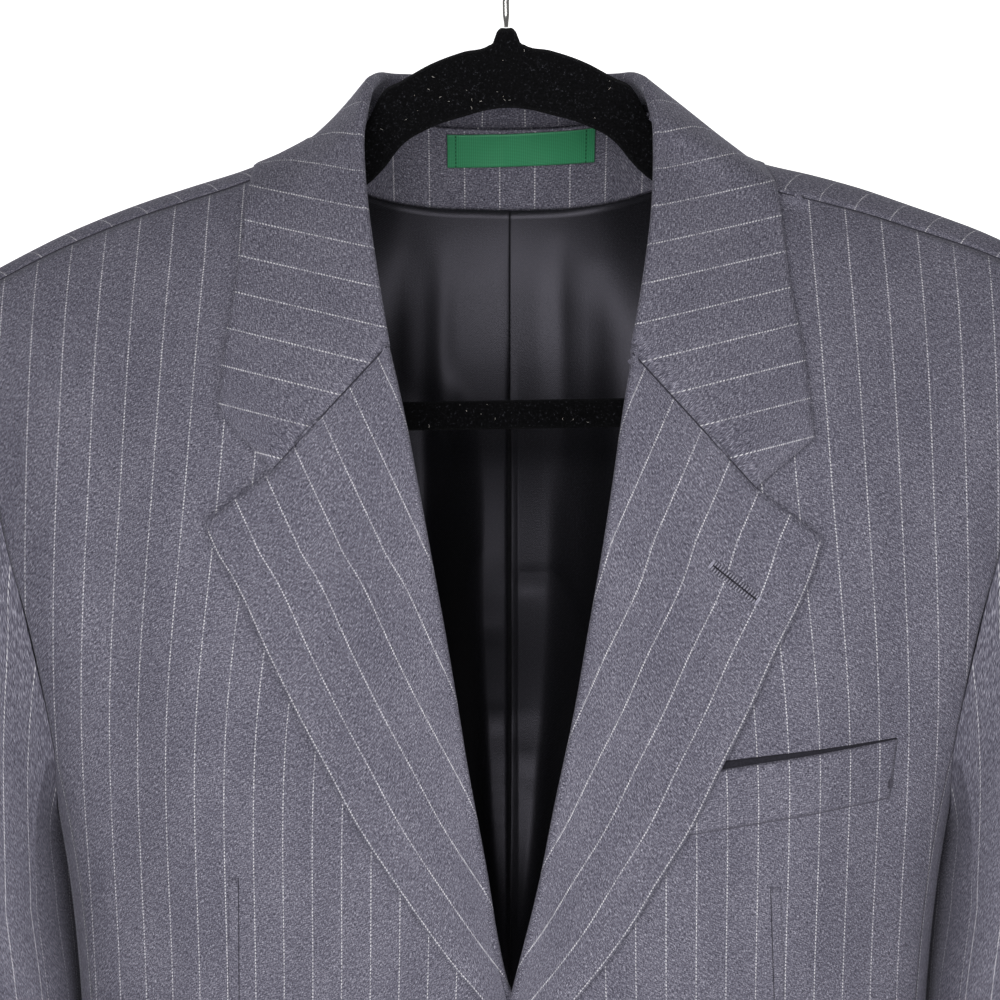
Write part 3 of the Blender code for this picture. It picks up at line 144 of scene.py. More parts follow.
# How far below the ridge the shoulder seam runs, on its front side.
SHOULDER_SEAM = table("across right left", """
    67 6 8
    120 8 14
    180 8 13.5
    238 7.5 11
""")

# The edge of the opening: the collar's fold, the lapel's roll, then the front edge.
# Below zero is past the middle.
OPENING = table("height right left", """
    -90 60 62
    -106 62.5 67
    -124.6 63.5 67.8
    -155 60.5 66
    -192.5 54.5 60.5
    -215.5 50.5 57
    -242.2 44.6 52.5
    -275.5 38.1 47.8
    -309.2 31.9 42.6
    -342.5 25.8 36.8
    -375.7 20.2 31.1
    -420.3 13.1 21.8
    -453.2 7.2 15.3
    -490.8 0.7 6
    -525 -6.2 -2.8
    -556 -13 -12
""")
FRONT_EDGE = table("height across", """
    -540 -15
    -700 -15
    -760 -11.5
    -800 -3
    -830 11
    -853 30
    -872 64
""")
HEM = table("turn front back", """
    0 -869 -880
    20 -873 -879.5
    71 -879 -878.5
    90 -878.7 -878.7
""")

# Where the armhole crosses the front and the back, in degrees round the body.
ARMHOLE = table("height front_turn back_turn", """
    -170 57.5 57.5
    -230 62 63
    -290 66.7 67
    -345 66.5 67
    -400 71 71
""")

# Soft folds and creases of the fronts (side 1) and backs: where each runs, how wide and how proud.
# The first twelve are the largest, and the rest are creases of the cloth itself, all uneven.
BODY_FOLDS = table("side top_across top bottom_across bottom half_width rise", """
    1 150 -200 128 -520 20 3
    1 186 -240 160 -560 16 -3
    1 110 -560 135 -880 30 4
    1 -150 -190 -135 -560 22 3
    1 -190 -230 -158 -520 16 -2.8
    1 -120 -540 -150 -880 32 4
    -1 100 -170 75 -600 28 3.5
    -1 160 -230 130 -640 20 -3
    -1 -105 -180 -80 -560 26 3.5
    -1 -165 -220 -135 -660 22 -3
    -1 60 -600 85 -880 35 4
    -1 -70 -620 -100 -880 35 4.5
    1 -176 -225 -172 -345 13 -1.6
    1 -203 -235 -196 -330 11 1.4
    1 -118 -300 -146 -470 17 1.2
    1 -148 -455 -170 -640 12 -1.3
    1 -95 -520 -118 -700 20 1.4
    1 -60 -640 -85 -860 18 -1.3
    1 170 -215 163 -330 14 1.3
    1 205 -235 192 -350 10 -1.4
    1 132 -250 150 -395 16 -1
    1 168 -440 150 -600 12 1.3
    1 98 -470 112 -640 19 -1.1
    1 70 -700 105 -860 17 1.4
    -1 30 -150 22 -330 18 1.2
    -1 -35 -140 -50 -290 15 -1
    -1 128 -200 108 -420 14 1.5
    -1 185 -240 160 -400 11 -1.6
    -1 -130 -190 -108 -390 16 1.4
    -1 -190 -235 -168 -410 12 -1.5
    -1 20 -420 48 -620 20 -1.2
    -1 -28 -470 -40 -700 17 1.3
    -1 140 -520 160 -820 18 1.5
    -1 -150 -500 -172 -800 15 1.4
    -1 110 -660 122 -860 14 -1.4
    -1 -110 -690 -125 -870 19 -1.3
""")


def ridge(across):
    """Height of the shoulder ridge."""
    return np.where(np.asarray(across) < 0.0,
                    smooth(RIDGE, "across", "right", np.abs(across)),
                    smooth(RIDGE, "across", "left", np.abs(across)))


def sided(sizes, key, at, side):
    """Reads the column of the wearer's left, where side is 1, or right, where it is -1."""
    return smooth(sizes, key, "left" if side > 0 else "right", at)


def rounding(drop, slope):
    """Share of the body's depth that is reached at a drop below the ridge."""
    length, power = slope
    part = 1.0 - np.clip(np.asarray(drop, float) / length, 0.0, 1.0)
    return (1.0 - part ** power) ** (1.0 / power)


def drop_of(run, slope):
    """Drop and depth share at a run of cloth measured from the ridge."""
    length, power = slope
    angle = np.clip(run / length, 0.0, math.pi / 2)
    below = np.maximum(run - length * math.pi / 2, 0.0)
    drop = length * (1.0 - np.cos(angle).clip(0.0) ** (2.0 / power)) + below
    return drop, np.sin(angle) ** (2.0 / power)


def run_of(drop, slope):
    """Run of cloth from the ridge that reaches a drop."""
    length, power = slope
    part = np.clip(1.0 - drop / length, 0.0, 1.0)
    return length * np.arccos(part ** (power / 2.0)) + np.maximum(drop - length, 0.0)


def run_at(across, height, slope):
    """Run of cloth from the ridge down to a place."""
    return run_of(ridge(across) - height, slope)


def turn_of(across, height):
    """Degrees round the body of a place on its front or back."""
    share = np.clip(np.abs(across) / smooth(BODY, "height", "half_width", height), 0.0, 1.0)
    return np.sign(across) * np.degrees(np.arcsin(share ** (BODY_SQUARENESS / 2.0)))


def hung_folds(folds, across, height, ends):
    """How far some folds stand out together; they fade towards their ends by a power."""
    rise = 0.0
    for fold in folds:
        along = np.clip((height - fold["top"]) / (fold["bottom"] - fold["top"]), 0.0, 1.0)
        middle = fold["top_across"] + (fold["bottom_across"] - fold["top_across"]) * along
        shape = np.exp(-((across - middle) / fold["half_width"]) ** 2)
        rise = rise + fold["rise"] * shape * np.sin(math.pi * along) ** ends
    return rise


def body_depth(across, height, facing):
    """Depth of the front (1) or back (-1) at the middle of the body, with its folds."""
    column = "front_depth" if facing > 0 else "back_depth"
    folds = [fold for fold in rows_of(BODY_FOLDS) if fold["side"] == facing]
    return smooth(BODY, "height", column, height) + hung_folds(folds, across, height, 0.7)


def across_at(turn, height):
    """Across to a place at degrees round the body."""
    sine = np.sin(np.radians(np.abs(turn))) ** (2.0 / BODY_SQUARENESS)
    return np.sign(turn) * smooth(BODY, "height", "half_width", height) * sine


def reach_at(across, height, slope):
    """Share of the body's depth that is reached at a place, less towards its sides and its top."""
    share = np.clip(np.abs(across) / smooth(BODY, "height", "half_width", height), 0.0, 1.0)
    reach = (1.0 - share ** BODY_SQUARENESS) ** (1.0 / BODY_SQUARENESS)
    return reach * rounding(ridge(across) - height, slope)


def lap(across, height, side):
    """How far the wearer's right front goes back to pass under the left one."""
    if side > 0:
        return 0.0 * height
    depth = 0.0075 * fade(height, -0.400, -0.470) - 0.0040 * fade(height, -0.580, -0.640)
    return depth * fade(across, -0.110, -0.035)


def front_surface(across, height, side):
    """Depth of the fronts' outer face."""
    depth = -body_depth(across, height, 1) * reach_at(across, height, FRONT_SLOPE)
    return depth + lap(across, height, side)


def back_surface(across, height):
    """Depth of the backs' outer face."""
    return body_depth(across, height, -1) * reach_at(across, height, BACK_SLOPE)


def slant(surface, across, height, *side):
    """How much longer a step along Y is than the same step straight out of a surface."""
    step = 0.001
    rise = (surface(across, height + step, *side) - surface(across, height - step, *side)) / (2 * step)
    lean = (surface(across + step, height, *side) - surface(across - step, height, *side)) / (2 * step)
    return np.sqrt(1.0 + rise ** 2 + lean ** 2).clip(1.0, 3.5)


def on_body(turn, run, facing, side):
    """Points at degrees round the body and a run of cloth down from the ridge.

    A run below zero on the back goes over the ridge onto the front.
    """
    over = run < 0.0
    front_drop, front_share = drop_of(np.abs(run), FRONT_SLOPE)
    back_drop, back_share = drop_of(np.abs(run), BACK_SLOPE)
    on_front = (facing > 0) | over
    drop = np.where(on_front, front_drop, back_drop)
    share = np.where(on_front, front_share, back_share)
    cosine = np.cos(np.radians(turn)).clip(0.0) ** (2.0 / BODY_SQUARENESS)
    height = -0.3 + 0.0 * run
    for _ in range(12):
        across = across_at(turn, height)
        height = ridge(across) - drop
    depth = np.where(on_front, -body_depth(across, height, 1), body_depth(across, height, -1))
    depth = depth * cosine * share
    if facing > 0:
        depth = depth + lap(across, height, side)
    return np.stack([across, depth, height], axis=-1)


def on_side(turn, height, side):
    """Points of the underarm, where turns past 90 degrees are on the back."""
    cosine = np.abs(np.cos(np.radians(turn))) ** (2.0 / BODY_SQUARENESS)
    across = across_at(side * turn, height)
    depth = np.where(turn < 90.0, -body_depth(across, height, 1), body_depth(across, height, -1))
    return np.stack([across, depth * cosine, height], axis=-1)


def patch(top, bottom, inner, outer, down):
    """Fills four edges with rows and columns; down is each row's share of the way down."""
    across = np.linspace(0.0, 1.0, len(top))[None, :, None]
    down = np.asarray(down)[:, None, None]
    sides = (1.0 - across) * inner[:, None] + across * outer[:, None]
    ends = (1.0 - down) * top[None] + down * bottom[None]
    corners = ((1.0 - down) * ((1.0 - across) * top[0] + across * top[-1])
               + down * ((1.0 - across) * bottom[0] + across * bottom[-1]))
    return sides + ends - corners


def pair(first, second):
    """Two columns of numbers as points."""
    return np.stack(np.broadcast_arrays(first, second), axis=-1)


def trimmed(grid, top=SEAM_GAP, bottom=0.0, first=SEAM_GAP / 2, last=SEAM_GAP):
    """Draws a sheet's four edges in from the seam lines."""
    grid = grid.copy()
    for edge, inward, amount in ((0, 1, top), (-1, -2, bottom)):
        step = grid[inward] - grid[edge]
        grid[edge] += step * amount / np.linalg.norm(step, axis=-1, keepdims=True).clip(1e-6)
    for edge, inward, amount in ((0, 1, first), (-1, -2, last)):
        step = grid[:, inward] - grid[:, edge]
        grid[:, edge] += step * amount / np.linalg.norm(step, axis=-1, keepdims=True).clip(1e-6)
    return grid


# ---- Fronts, backs and underarm panels ----
ARMHOLE_ROWS = 24           # rows of cloth beside each armhole
SKIRT_ROWS = 60             # rows from the underarm to the hem
FRONT_COLUMNS = 60
BACK_SEAM_COLUMNS = 36
BACK_NECK_PLACES = np.linspace(0.0, 0.0655, 19)    # columns that end at the back neck
SIDE_COLUMNS = 12


def skirt_shares():
    """Shares of the way from the underarm to the hem, closer together at the hem."""
    return 1.0 - (1.0 - np.linspace(0.0, 1.0, SKIRT_ROWS + 1)) ** 1.35


def seam_run(across, side):
    """Run of cloth from the ridge to the shoulder seam, on the front."""
    return run_of(sided(SHOULDER_SEAM, "across", np.abs(across), side), FRONT_SLOPE)


def shoulder_seam(side, columns):
    """Across and height of the columns' ends along a shoulder seam, from the neck out."""
    across = side * np.linspace(NECK_POINT, SHOULDER_TIP, columns + 1)
    return across, ridge(across) - sided(SHOULDER_SEAM, "across", np.abs(across), side)


def tip_height(side):
    """Height of the shoulder tip."""
    return float(shoulder_seam(side, 1)[1][-1])


def tip_turn(side):
    """Degrees round the body of the shoulder tip."""
    return abs(float(turn_of(side * SHOULDER_TIP, tip_height(side))))


def armhole_turn(height, facing, side):
    """Degrees round the body of the armhole, starting at the shoulder tip."""
    name = "front_turn" if facing > 0 else "back_turn"
    turn = smooth(ARMHOLE, "height", name, height)
    start = smooth(ARMHOLE, "height", name, tip_height(side))
    ease = fade(height, SIDE_SEAM_TOP, tip_height(side))
    return turn + (tip_turn(side) - start) * ease ** 2


def body_rows(side):
    """Heights of a front's rows, from the shoulder tip past the underarm to the hem."""
    share = np.linspace(0.0, 1.0, ARMHOLE_ROWS + 1) ** 1.25
    upper = tip_height(side) + (SIDE_SEAM_TOP - tip_height(side)) * share
    lower = SIDE_SEAM_TOP + (HEM["front"][2] - SIDE_SEAM_TOP) * skirt_shares()[1:]
    return np.concatenate([upper, lower])


def front_panel(side):
    """Rows and columns of a front, from its opening edge to the armhole and side seam."""
    heights = body_rows(side)
    upper = heights[:ARMHOLE_ROWS + 1]
    turns = np.concatenate([armhole_turn(upper, 1, side), np.full(SKIRT_ROWS, SIDE_SEAM_TURN)])
    outer = pair(side * turns, run_at(across_at(side * turns, heights), heights, FRONT_SLOPE))
    down = (heights - heights[0]) / (heights[-1] - heights[0])

    seam_across, seam_height = shoulder_seam(side, FRONT_COLUMNS)
    top = pair(turn_of(seam_across, seam_height), seam_run(seam_across, side))

    edge_height = seam_height[0] + (FRONT_EDGE["height"][-1] - seam_height[0]) * down
    edge = opening_edge(edge_height, side)
    inner = pair(turn_of(side * edge, edge_height), run_at(side * edge, edge_height, FRONT_SLOPE))
    inner[0] = top[0]
    top[-1] = outer[0]

    hem_turn = np.linspace(inner[-1, 0], outer[-1, 0], FRONT_COLUMNS + 1)
    hem_height = smooth(HEM, "turn", "front", np.abs(hem_turn))
    bottom = pair(hem_turn, run_at(across_at(hem_turn, hem_height), hem_height, FRONT_SLOPE))
    bottom[0] = inner[-1]
    bottom[-1] = outer[-1]
    plan = patch(top, bottom, inner, outer, down)
    return on_body(plan[..., 0], plan[..., 1], 1, side)


def opening_edge(height, side):
    """Across to a front's own edge, which the roll of the lapel or collar covers."""
    cover = FOLD_RADIUS + 0.0009 + 0.0048 * fade(height, -0.245, -0.222)
    roll = sided(OPENING, "height", height, side) + cover
    plain = smooth(FRONT_EDGE, "height", "across", height)
    below = fade(height, BREAK_HEIGHT + 0.012, BREAK_HEIGHT - 0.006)
    return roll * (1.0 - below) + plain * below


def back_rows(side):
    """Runs of a back's rows beside its armhole."""
    start = -float(seam_run(side * SHOULDER_TIP, side))
    corner = across_at(side * SIDE_SEAM_TURN, SIDE_SEAM_TOP)
    end = float(run_at(corner, SIDE_SEAM_TOP, BACK_SLOPE))
    share = np.linspace(0.0, 1.0, ARMHOLE_ROWS + 1) ** 1.15
    return start + (end - start) * share


def back_panel(side):
    """Rows and columns of a back, from the centre seam to the armhole and side seam."""
    upper = back_rows(side)
    drop, _ = drop_of(np.abs(upper), BACK_SLOPE)
    height = ridge(side * SHOULDER_TIP) - drop
    for _ in range(8):
        turn = armhole_turn(height, -1, side)
        height = ridge(across_at(side * turn, height)) - drop
    turn[0] = tip_turn(side)
    turn[-1] = SIDE_SEAM_TURN
    lower_height = SIDE_SEAM_TOP + (HEM["back"][2] - SIDE_SEAM_TOP) * skirt_shares()[1:]
    lower_across = across_at(side * SIDE_SEAM_TURN, lower_height)
    lower = run_at(lower_across, lower_height, BACK_SLOPE)
    runs = np.concatenate([upper, lower])
    turns = np.concatenate([turn, np.full(SKIRT_ROWS, SIDE_SEAM_TURN)])
    outer = pair(side * turns, runs)
    down = (runs - runs[0]) / (runs[-1] - runs[0])

    neck_across = side * np.array(BACK_NECK_PLACES)
    neck_height = smooth(BACK_NECK, "across", "height", np.abs(neck_across))
    neck = pair(turn_of(neck_across, neck_height), run_at(neck_across, neck_height, BACK_SLOPE))
    seam_across, seam_height = shoulder_seam(side, BACK_SEAM_COLUMNS)
    seam = pair(turn_of(seam_across, seam_height), -seam_run(seam_across, side))
    top = np.concatenate([neck, seam])
    top[-1] = outer[0]

    hem_turn = np.linspace(0.0, side * SIDE_SEAM_TURN, len(top))
    hem_height = smooth(HEM, "turn", "back", np.abs(hem_turn))
    bottom = pair(hem_turn, run_at(across_at(hem_turn, hem_height), hem_height, BACK_SLOPE))
    bottom[-1] = outer[-1]
    inner = pair(np.zeros_like(down), top[0, 1] + (bottom[0, 1] - top[0, 1]) * down)
    plan = patch(top, bottom, inner, outer, down)
    return on_body(plan[..., 0], plan[..., 1], -1, side)


# The back neck seam, from the centre back to the neck point.
BACK_NECK = table("across height", """
    0 -107
    30 -106.6
    50 -105.2
    58 -104.2
    64 -103.2
    67.5 -102.8
""")


def underarm_panel(side):
    """Rows and columns of the panel under the arm, from the front's seam to the back's."""
    turns = np.linspace(SIDE_SEAM_TURN, 180.0 - SIDE_SEAM_TURN, SIDE_COLUMNS + 1)
    share = np.abs(turns - 90.0) / (90.0 - SIDE_SEAM_TURN)
    top = UNDERARM_HEIGHT + (SIDE_SEAM_TOP - UNDERARM_HEIGHT) * share ** 2
    hem = smooth(HEM, "turn", "back", np.minimum(turns, 180.0 - turns))
    front_hem = smooth(HEM, "turn", "front", turns)
    bottom = np.where(turns < 90.0, front_hem, hem)
    down = skirt_shares()[:, None]
    height = top[None] * (1.0 - down) + bottom[None] * down
    return on_side(turns[None] + 0.0 * height, height, side)


# ---- Sleeves ----
SLEEVE = table("height centre_across centre_depth half_width half_depth", """
    -470 251.5 -4 47.5 64
    -520 246 -6 49 64
    -580 246 -10 48.5 62
    -650 252 -17 47 59.5
    -720 259 -26 45 57
    -800 268.5 -38 42.5 54.5
""")
SLEEVE_SQUARENESS = 2.2
SLEEVE_TWIST = 16.0         # degrees that the sleeve's front edge turns in to the body
SLEEVE_TOP_ROWS = 22        # rows from the armhole to the first level ring
SLEEVE_ROWS = 60            # rows from there to the cuff
# Armhole points and their places round the level rings.
RING_ANGLES = table("point angle", """
    0 0
    24 122
    36 238
    60 360
""")
FRONT_SLEEVE_SEAM = 24      # armhole point that the front sleeve seam starts from
BACK_SLEEVE_SEAM = 42


def armhole_loop(side):
    """Points round the armhole: tip, front edge, underarm, back edge and the tip again."""
    front = front_panel(side)[:ARMHOLE_ROWS + 1, -1]
    under = underarm_panel(side)[0, 1:-1]
    back = back_panel(side)[:ARMHOLE_ROWS + 1, -1][::-1]
    return np.concatenate([front, under, back])


def sleeve_ring(height, angles, side):
    """A level section of the sleeve; angle 0 is its outer side, 90 its front."""
    across = smooth(SLEEVE, "height", "centre_across", height)[:, None]
    depth = smooth(SLEEVE, "height", "centre_depth", height)[:, None]
    half_width = smooth(SLEEVE, "height", "half_width", height)[:, None]
    half_depth = smooth(SLEEVE, "height", "half_depth", height)[:, None]
    cosine = np.cos(np.radians(angles))[None]
    sine = np.sin(np.radians(angles))[None]
    out = half_width * np.sign(cosine) * np.abs(cosine) ** (2.0 / SLEEVE_SQUARENESS)
    forward = half_depth * np.sign(sine) * np.abs(sine) ** (2.0 / SLEEVE_SQUARENESS)
    twist = math.radians(SLEEVE_TWIST)
    turned_out = out * math.cos(twist) - forward * math.sin(twist)
    turned_forward = out * math.sin(twist) + forward * math.cos(twist)
    level = height[:, None] + 0.0 * out
    return np.stack([side * (across + turned_out), depth - turned_forward, level], axis=-1)


def sleeve(side):
    """Rows and columns of a whole sleeve, from its armhole to the cuff."""
    loop = armhole_loop(side)
    points = np.arange(len(loop))
    angles = np.interp(points, RING_ANGLES["point"], RING_ANGLES["angle"])
    heights = np.linspace(SLEEVE["height"][0], SLEEVE["height"][-1], SLEEVE_ROWS + 1)
    rings = sleeve_ring(heights, angles, side)
    first = rings[0]
    under = (1.0 - np.cos(np.radians(angles))) / 2.0
    slope = np.radians(20.0 + 52.0 * under)
    forward = -0.35 * np.sin(np.radians(angles))
    leaving = np.stack([side * np.cos(slope), forward, -np.sin(slope)], axis=-1)
    reach = np.linalg.norm(first - loop, axis=-1)[:, None]
    leaving = leaving / np.linalg.norm(leaving, axis=-1)[:, None] * reach * (0.62 + 0.4 * under)[:, None]
    arriving = np.array([0.0, 0.0, -1.0]) * reach * 0.9
    start = loop + leaving / np.linalg.norm(leaving, axis=-1)[:, None] * ARMHOLE_GAP
    rows = []
    for share in (np.linspace(0.0, 1.0, SLEEVE_TOP_ROWS + 1)[:-1]) ** 1.1:
        rest = 1.0 - share
        rows.append(start * rest * rest * (1.0 + 2.0 * share)
                    + first * share * share * (3.0 - 2.0 * share)
                    + share * rest * (rest * leaving - share * arriving))
    return np.concatenate([np.array(rows), rings])


# ---- Collar and lapels ----
# Stations run round the neck: 0 at the centre back, 3 beside the neck, 8 at the gorge.
COLLAR_FOLD = table("station depth height right left", """
    0 62 -80 0 0
    1 54 -81.2 29 30
    2 35 -83.5 49 50.5
    3 12 -86.8 57.8 60.5
    3.5 -4 -92.5 60.8 64.2
    4 -22 -106 62.5 67
    5 -42 -125 63.5 67.8
    6 -64 -156 60.4 65.9
    7 -80 -192.5 54.5 60.5
    8 -90 -217.8 50 55.6
""")
COLLAR_EDGE = table("station depth right left right_height left_height", """
    0 82 0 0 -131 -131
    1 76 48 50 -131.5 -131
    2 56 87 90 -132 -130
    3 20 111 115 -132 -130
    3.5 0 115.5 120 -133.5 -131.2
    4 -20 116.8 123.5 -140 -137
    5 -48 118 126 -160 -160
    6 -68 120.4 128.5 -188.5 -191
    7 -80 124.7 133.3 -221 -222
    8 -86 126.2 136.6 -247.4 -258.9
""")
# Where the collar's stand meets the neck seam.
COLLAR_STAND = table("station depth height right left", """
    0 65.5 -105.5 0 0
    1 59 -105 30 31
    2 39 -103 52.5 54
    3 14 -100 64 66
    3.5 -3 -101.5 67.2 70.3
    4 -20 -112.5 69.5 74.2
    5 -37 -130 70.4 74.7
    6 -60 -158 67.2 72.7
    7 -78 -193.5 61.2 67.2
    8 -86 -217 56.7 62.3
""")
NOTCH = {1: (0.1101, -0.2807), -1: (0.1014, -0.2728)}
GORGE = {1: (0.0550, -0.2202), -1: (0.0502, -0.2175)}
COLLAR_CORNER = {1: (0.1366, -0.2589), -1: (0.1262, -0.2474)}
LAPEL_TIP = {1: (0.1400, -0.3030), -1: (0.1303, -0.2950)}
COLLAR_GORGE_STEPS = 18     # steps of the collar's end along the gorge, then up to its corner
COLLAR_CORNER_STEPS = 9
FOLD_STEPS = 8
COLLAR_STATIONS = 40        # rows from the centre back to each gorge
COLLAR_ARCH = {1: 0.0002, -1: -0.0040}    # of the collar's fall behind the neck
LAPEL_TUCK = 0.0055         # of the lapel's top, slipped under the collar at the roll
COLLAR_LIFT = 0.0046        # of the collar and lapel above the fronts at the fold
EDGE_LIFT = {1: 0.0040, -1: 0.0036}

LAPEL_EDGE = table("height right left", """
    -295 130.3 141
    -305 128.3 139.3
    -321.1 119 134.3
    -355.3 103 118
    -378.1 91.7 107.9
    -403.2 78.2 95.2
    -429.9 64 82.1
    -453.2 49.2 67.6
    -473.4 35.4 55.3
    -489.6 23.5 43.4
    -505.4 10.1 30.5
    -535 -9 7
    -558 -11 -10.5
""")
LAPEL_ROWS = 64
LAPEL_COLUMNS = 32


def clear_of_body(points, gap):
    """Moves points that are too near the body's outer face out to a gap from it."""
    points = points.copy()

    def beyond(depth, height):
        """How far outside the body's outer face the points lie."""
        front = -front_surface(points[..., 0], height, 1)
        back = back_surface(points[..., 0], height)
        level = np.abs(depth) - np.where(depth < 0.0, front, back)
        above = np.maximum(height - ridge(points[..., 0]), 0.0)
        return np.where(above > 0.0, np.hypot(depth, above), level)

    step = 0.0002
    for _ in range(6):
        depth = points[..., 1]
        height = points[..., 2]
        here = beyond(depth, height)
        along_depth = (beyond(depth + step, height) - beyond(depth - step, height)) / (2 * step)
        along_height = (beyond(depth, height + step) - beyond(depth, height - step)) / (2 * step)
        size = np.hypot(along_depth, along_height).clip(1e-6)
        lacking = np.maximum(gap - here / size.clip(1.0), 0.0)
        points[..., 1] += lacking * along_depth / size
        points[..., 2] += lacking * along_height / size
    return points


def collar_sections():
    """Rows round the neck, columns from the stand over the fold to the collar's edge."""
    stations = np.linspace(0.0, 8.0, COLLAR_STATIONS + 1)
    signed = np.concatenate([-stations[:0:-1], stations])
    fall_steps = COLLAR_GORGE_STEPS + COLLAR_CORNER_STEPS
    rows = []
    for value in signed:
        side = 1 if value >= 0 else -1
        station = abs(value)
        fold = collar_point(COLLAR_FOLD, station, side)
        edge = collar_point(COLLAR_EDGE, station, side)
        stand = collar_point(COLLAR_STAND, station, side)
        settled = fade(station, 4.2, 5.8)
        for point, lift in ((stand, -SHELL_CLOTH), (fold, COLLAR_LIFT - FOLD_RADIUS),
                            (edge, EDGE_LIFT[side])):
            lying = front_surface(point[0], point[2], side) - lift
            point[1] = point[1] * (1.0 - settled) + lying * settled
        fall = unit(edge - fold)
        along = collar_along(value)
        up = unit(np.cross(fall, along))
        if up @ outward(fold, station) < 0.0:
            up = -up
        crest = rolled(fold + fall * FOLD_RADIUS, fall, up)
        start = crest[-1]
        share = np.linspace(0.0, 1.0, fall_steps + 1)[1:, None]
        flat = start + (edge - start) * share
        flat = flat + up * COLLAR_ARCH[side] * np.sin(math.pi * share) * (1.0 - settled)
        flat = end_of_collar(flat, side, station)
        lifts = COLLAR_LIFT + (EDGE_LIFT[side] - COLLAR_LIFT) * share[:, 0]
        settled_depth = front_surface(flat[:, 0], flat[:, 2], side) - lifts
        flat[:, 1] = flat[:, 1] * (1.0 - settled) + settled_depth * settled
        flat = clear_of_body(flat, SHELL_CLOTH + 0.0009 - 0.0017 * share[:, 0] ** 2)
        middle = (stand + crest[0]) / 2.0
        rows.append([stand, middle] + crest + list(flat))
    return np.array(rows)


def rolled(heart, fall, up):
    """The half round of a fold about its heart, from its inner side to its outer one."""
    turns = np.radians(np.linspace(-90.0, 90.0, FOLD_STEPS + 1))
    return [heart + FOLD_RADIUS * (-math.cos(turn) * fall + math.sin(turn) * up) for turn in turns]


def collar_point(sizes, station, side):
    """A point of one of the collar's lines."""
    across = side * float(sided(sizes, "station", station, side))
    own_side = "left_height" if side > 0 else "right_height"
    column = own_side if own_side in sizes else "height"
    height = float(smooth(sizes, "station", column, station))
    return np.array([across, float(smooth(sizes, "station", "depth", station)), height])


def collar_along(value):
    """Direction of the collar's fold line."""
    ends = []
    for near in (value - 0.05, value + 0.05):
        near = float(np.clip(near, -8.0, 8.0))
        ends.append(collar_point(COLLAR_FOLD, abs(near), 1 if near >= 0 else -1))
    return unit(ends[1] - ends[0])


def outward(point, station):
    """Roughly away from the neck: up and back behind it, forward on the chest."""
    return np.array([point[0] * 4.0, 0.6 - 0.4 * station, 0.5])


def unit(vector):
    """The same direction, one metre long."""
    return vector / np.linalg.norm(vector)


def end_of_collar(flat, side, station):
    """Bends the last stations from the straight down to the gorge seam and the end edge."""
    weight = float(np.clip((station - 3.5) / 4.5, 0.0, 1.0)) ** 2
    gorge = np.array(GORGE[side])
    notch = np.array(NOTCH[side])
    corner = np.array(COLLAR_CORNER[side])
    steps = np.arange(1, COLLAR_GORGE_STEPS + 1)[:, None] / COLLAR_GORGE_STEPS
    seam = gorge + (notch - gorge) * (0.012 + 0.988 * steps)
    steps = np.arange(1, COLLAR_CORNER_STEPS + 1)[:, None] / COLLAR_CORNER_STEPS
    end = np.concatenate([seam, notch + (corner - notch) * steps])
    share = np.linspace(0.0, 1.0, len(end) + 1)[1:, None]
    straight = gorge + (corner - gorge) * share
    moved = flat.copy()
    shift = (end - straight) * weight
    moved[:, 0] += side * shift[:, 0]
    moved[:, 2] += shift[:, 1]
    if station > 7.99:
        moved[:, 0] = side * end[:, 0]
        moved[:, 2] = end[:, 1]
    return moved


def beyond_roll(row):
    """A lapel's row beyond its roll, its first points moved out past the end of the hook."""
    run = lengths_down(row)
    push = max(1.65 * FOLD_RADIUS + 0.0012 - run[1], 0.0)
    push = min(push, 0.15 * run[-1]) * (1.0 - run[1:] / run[-1]) ** 4
    return np.stack([np.interp(run[1:] + push, run, row[:, axis]) for axis in range(3)], axis=-1)


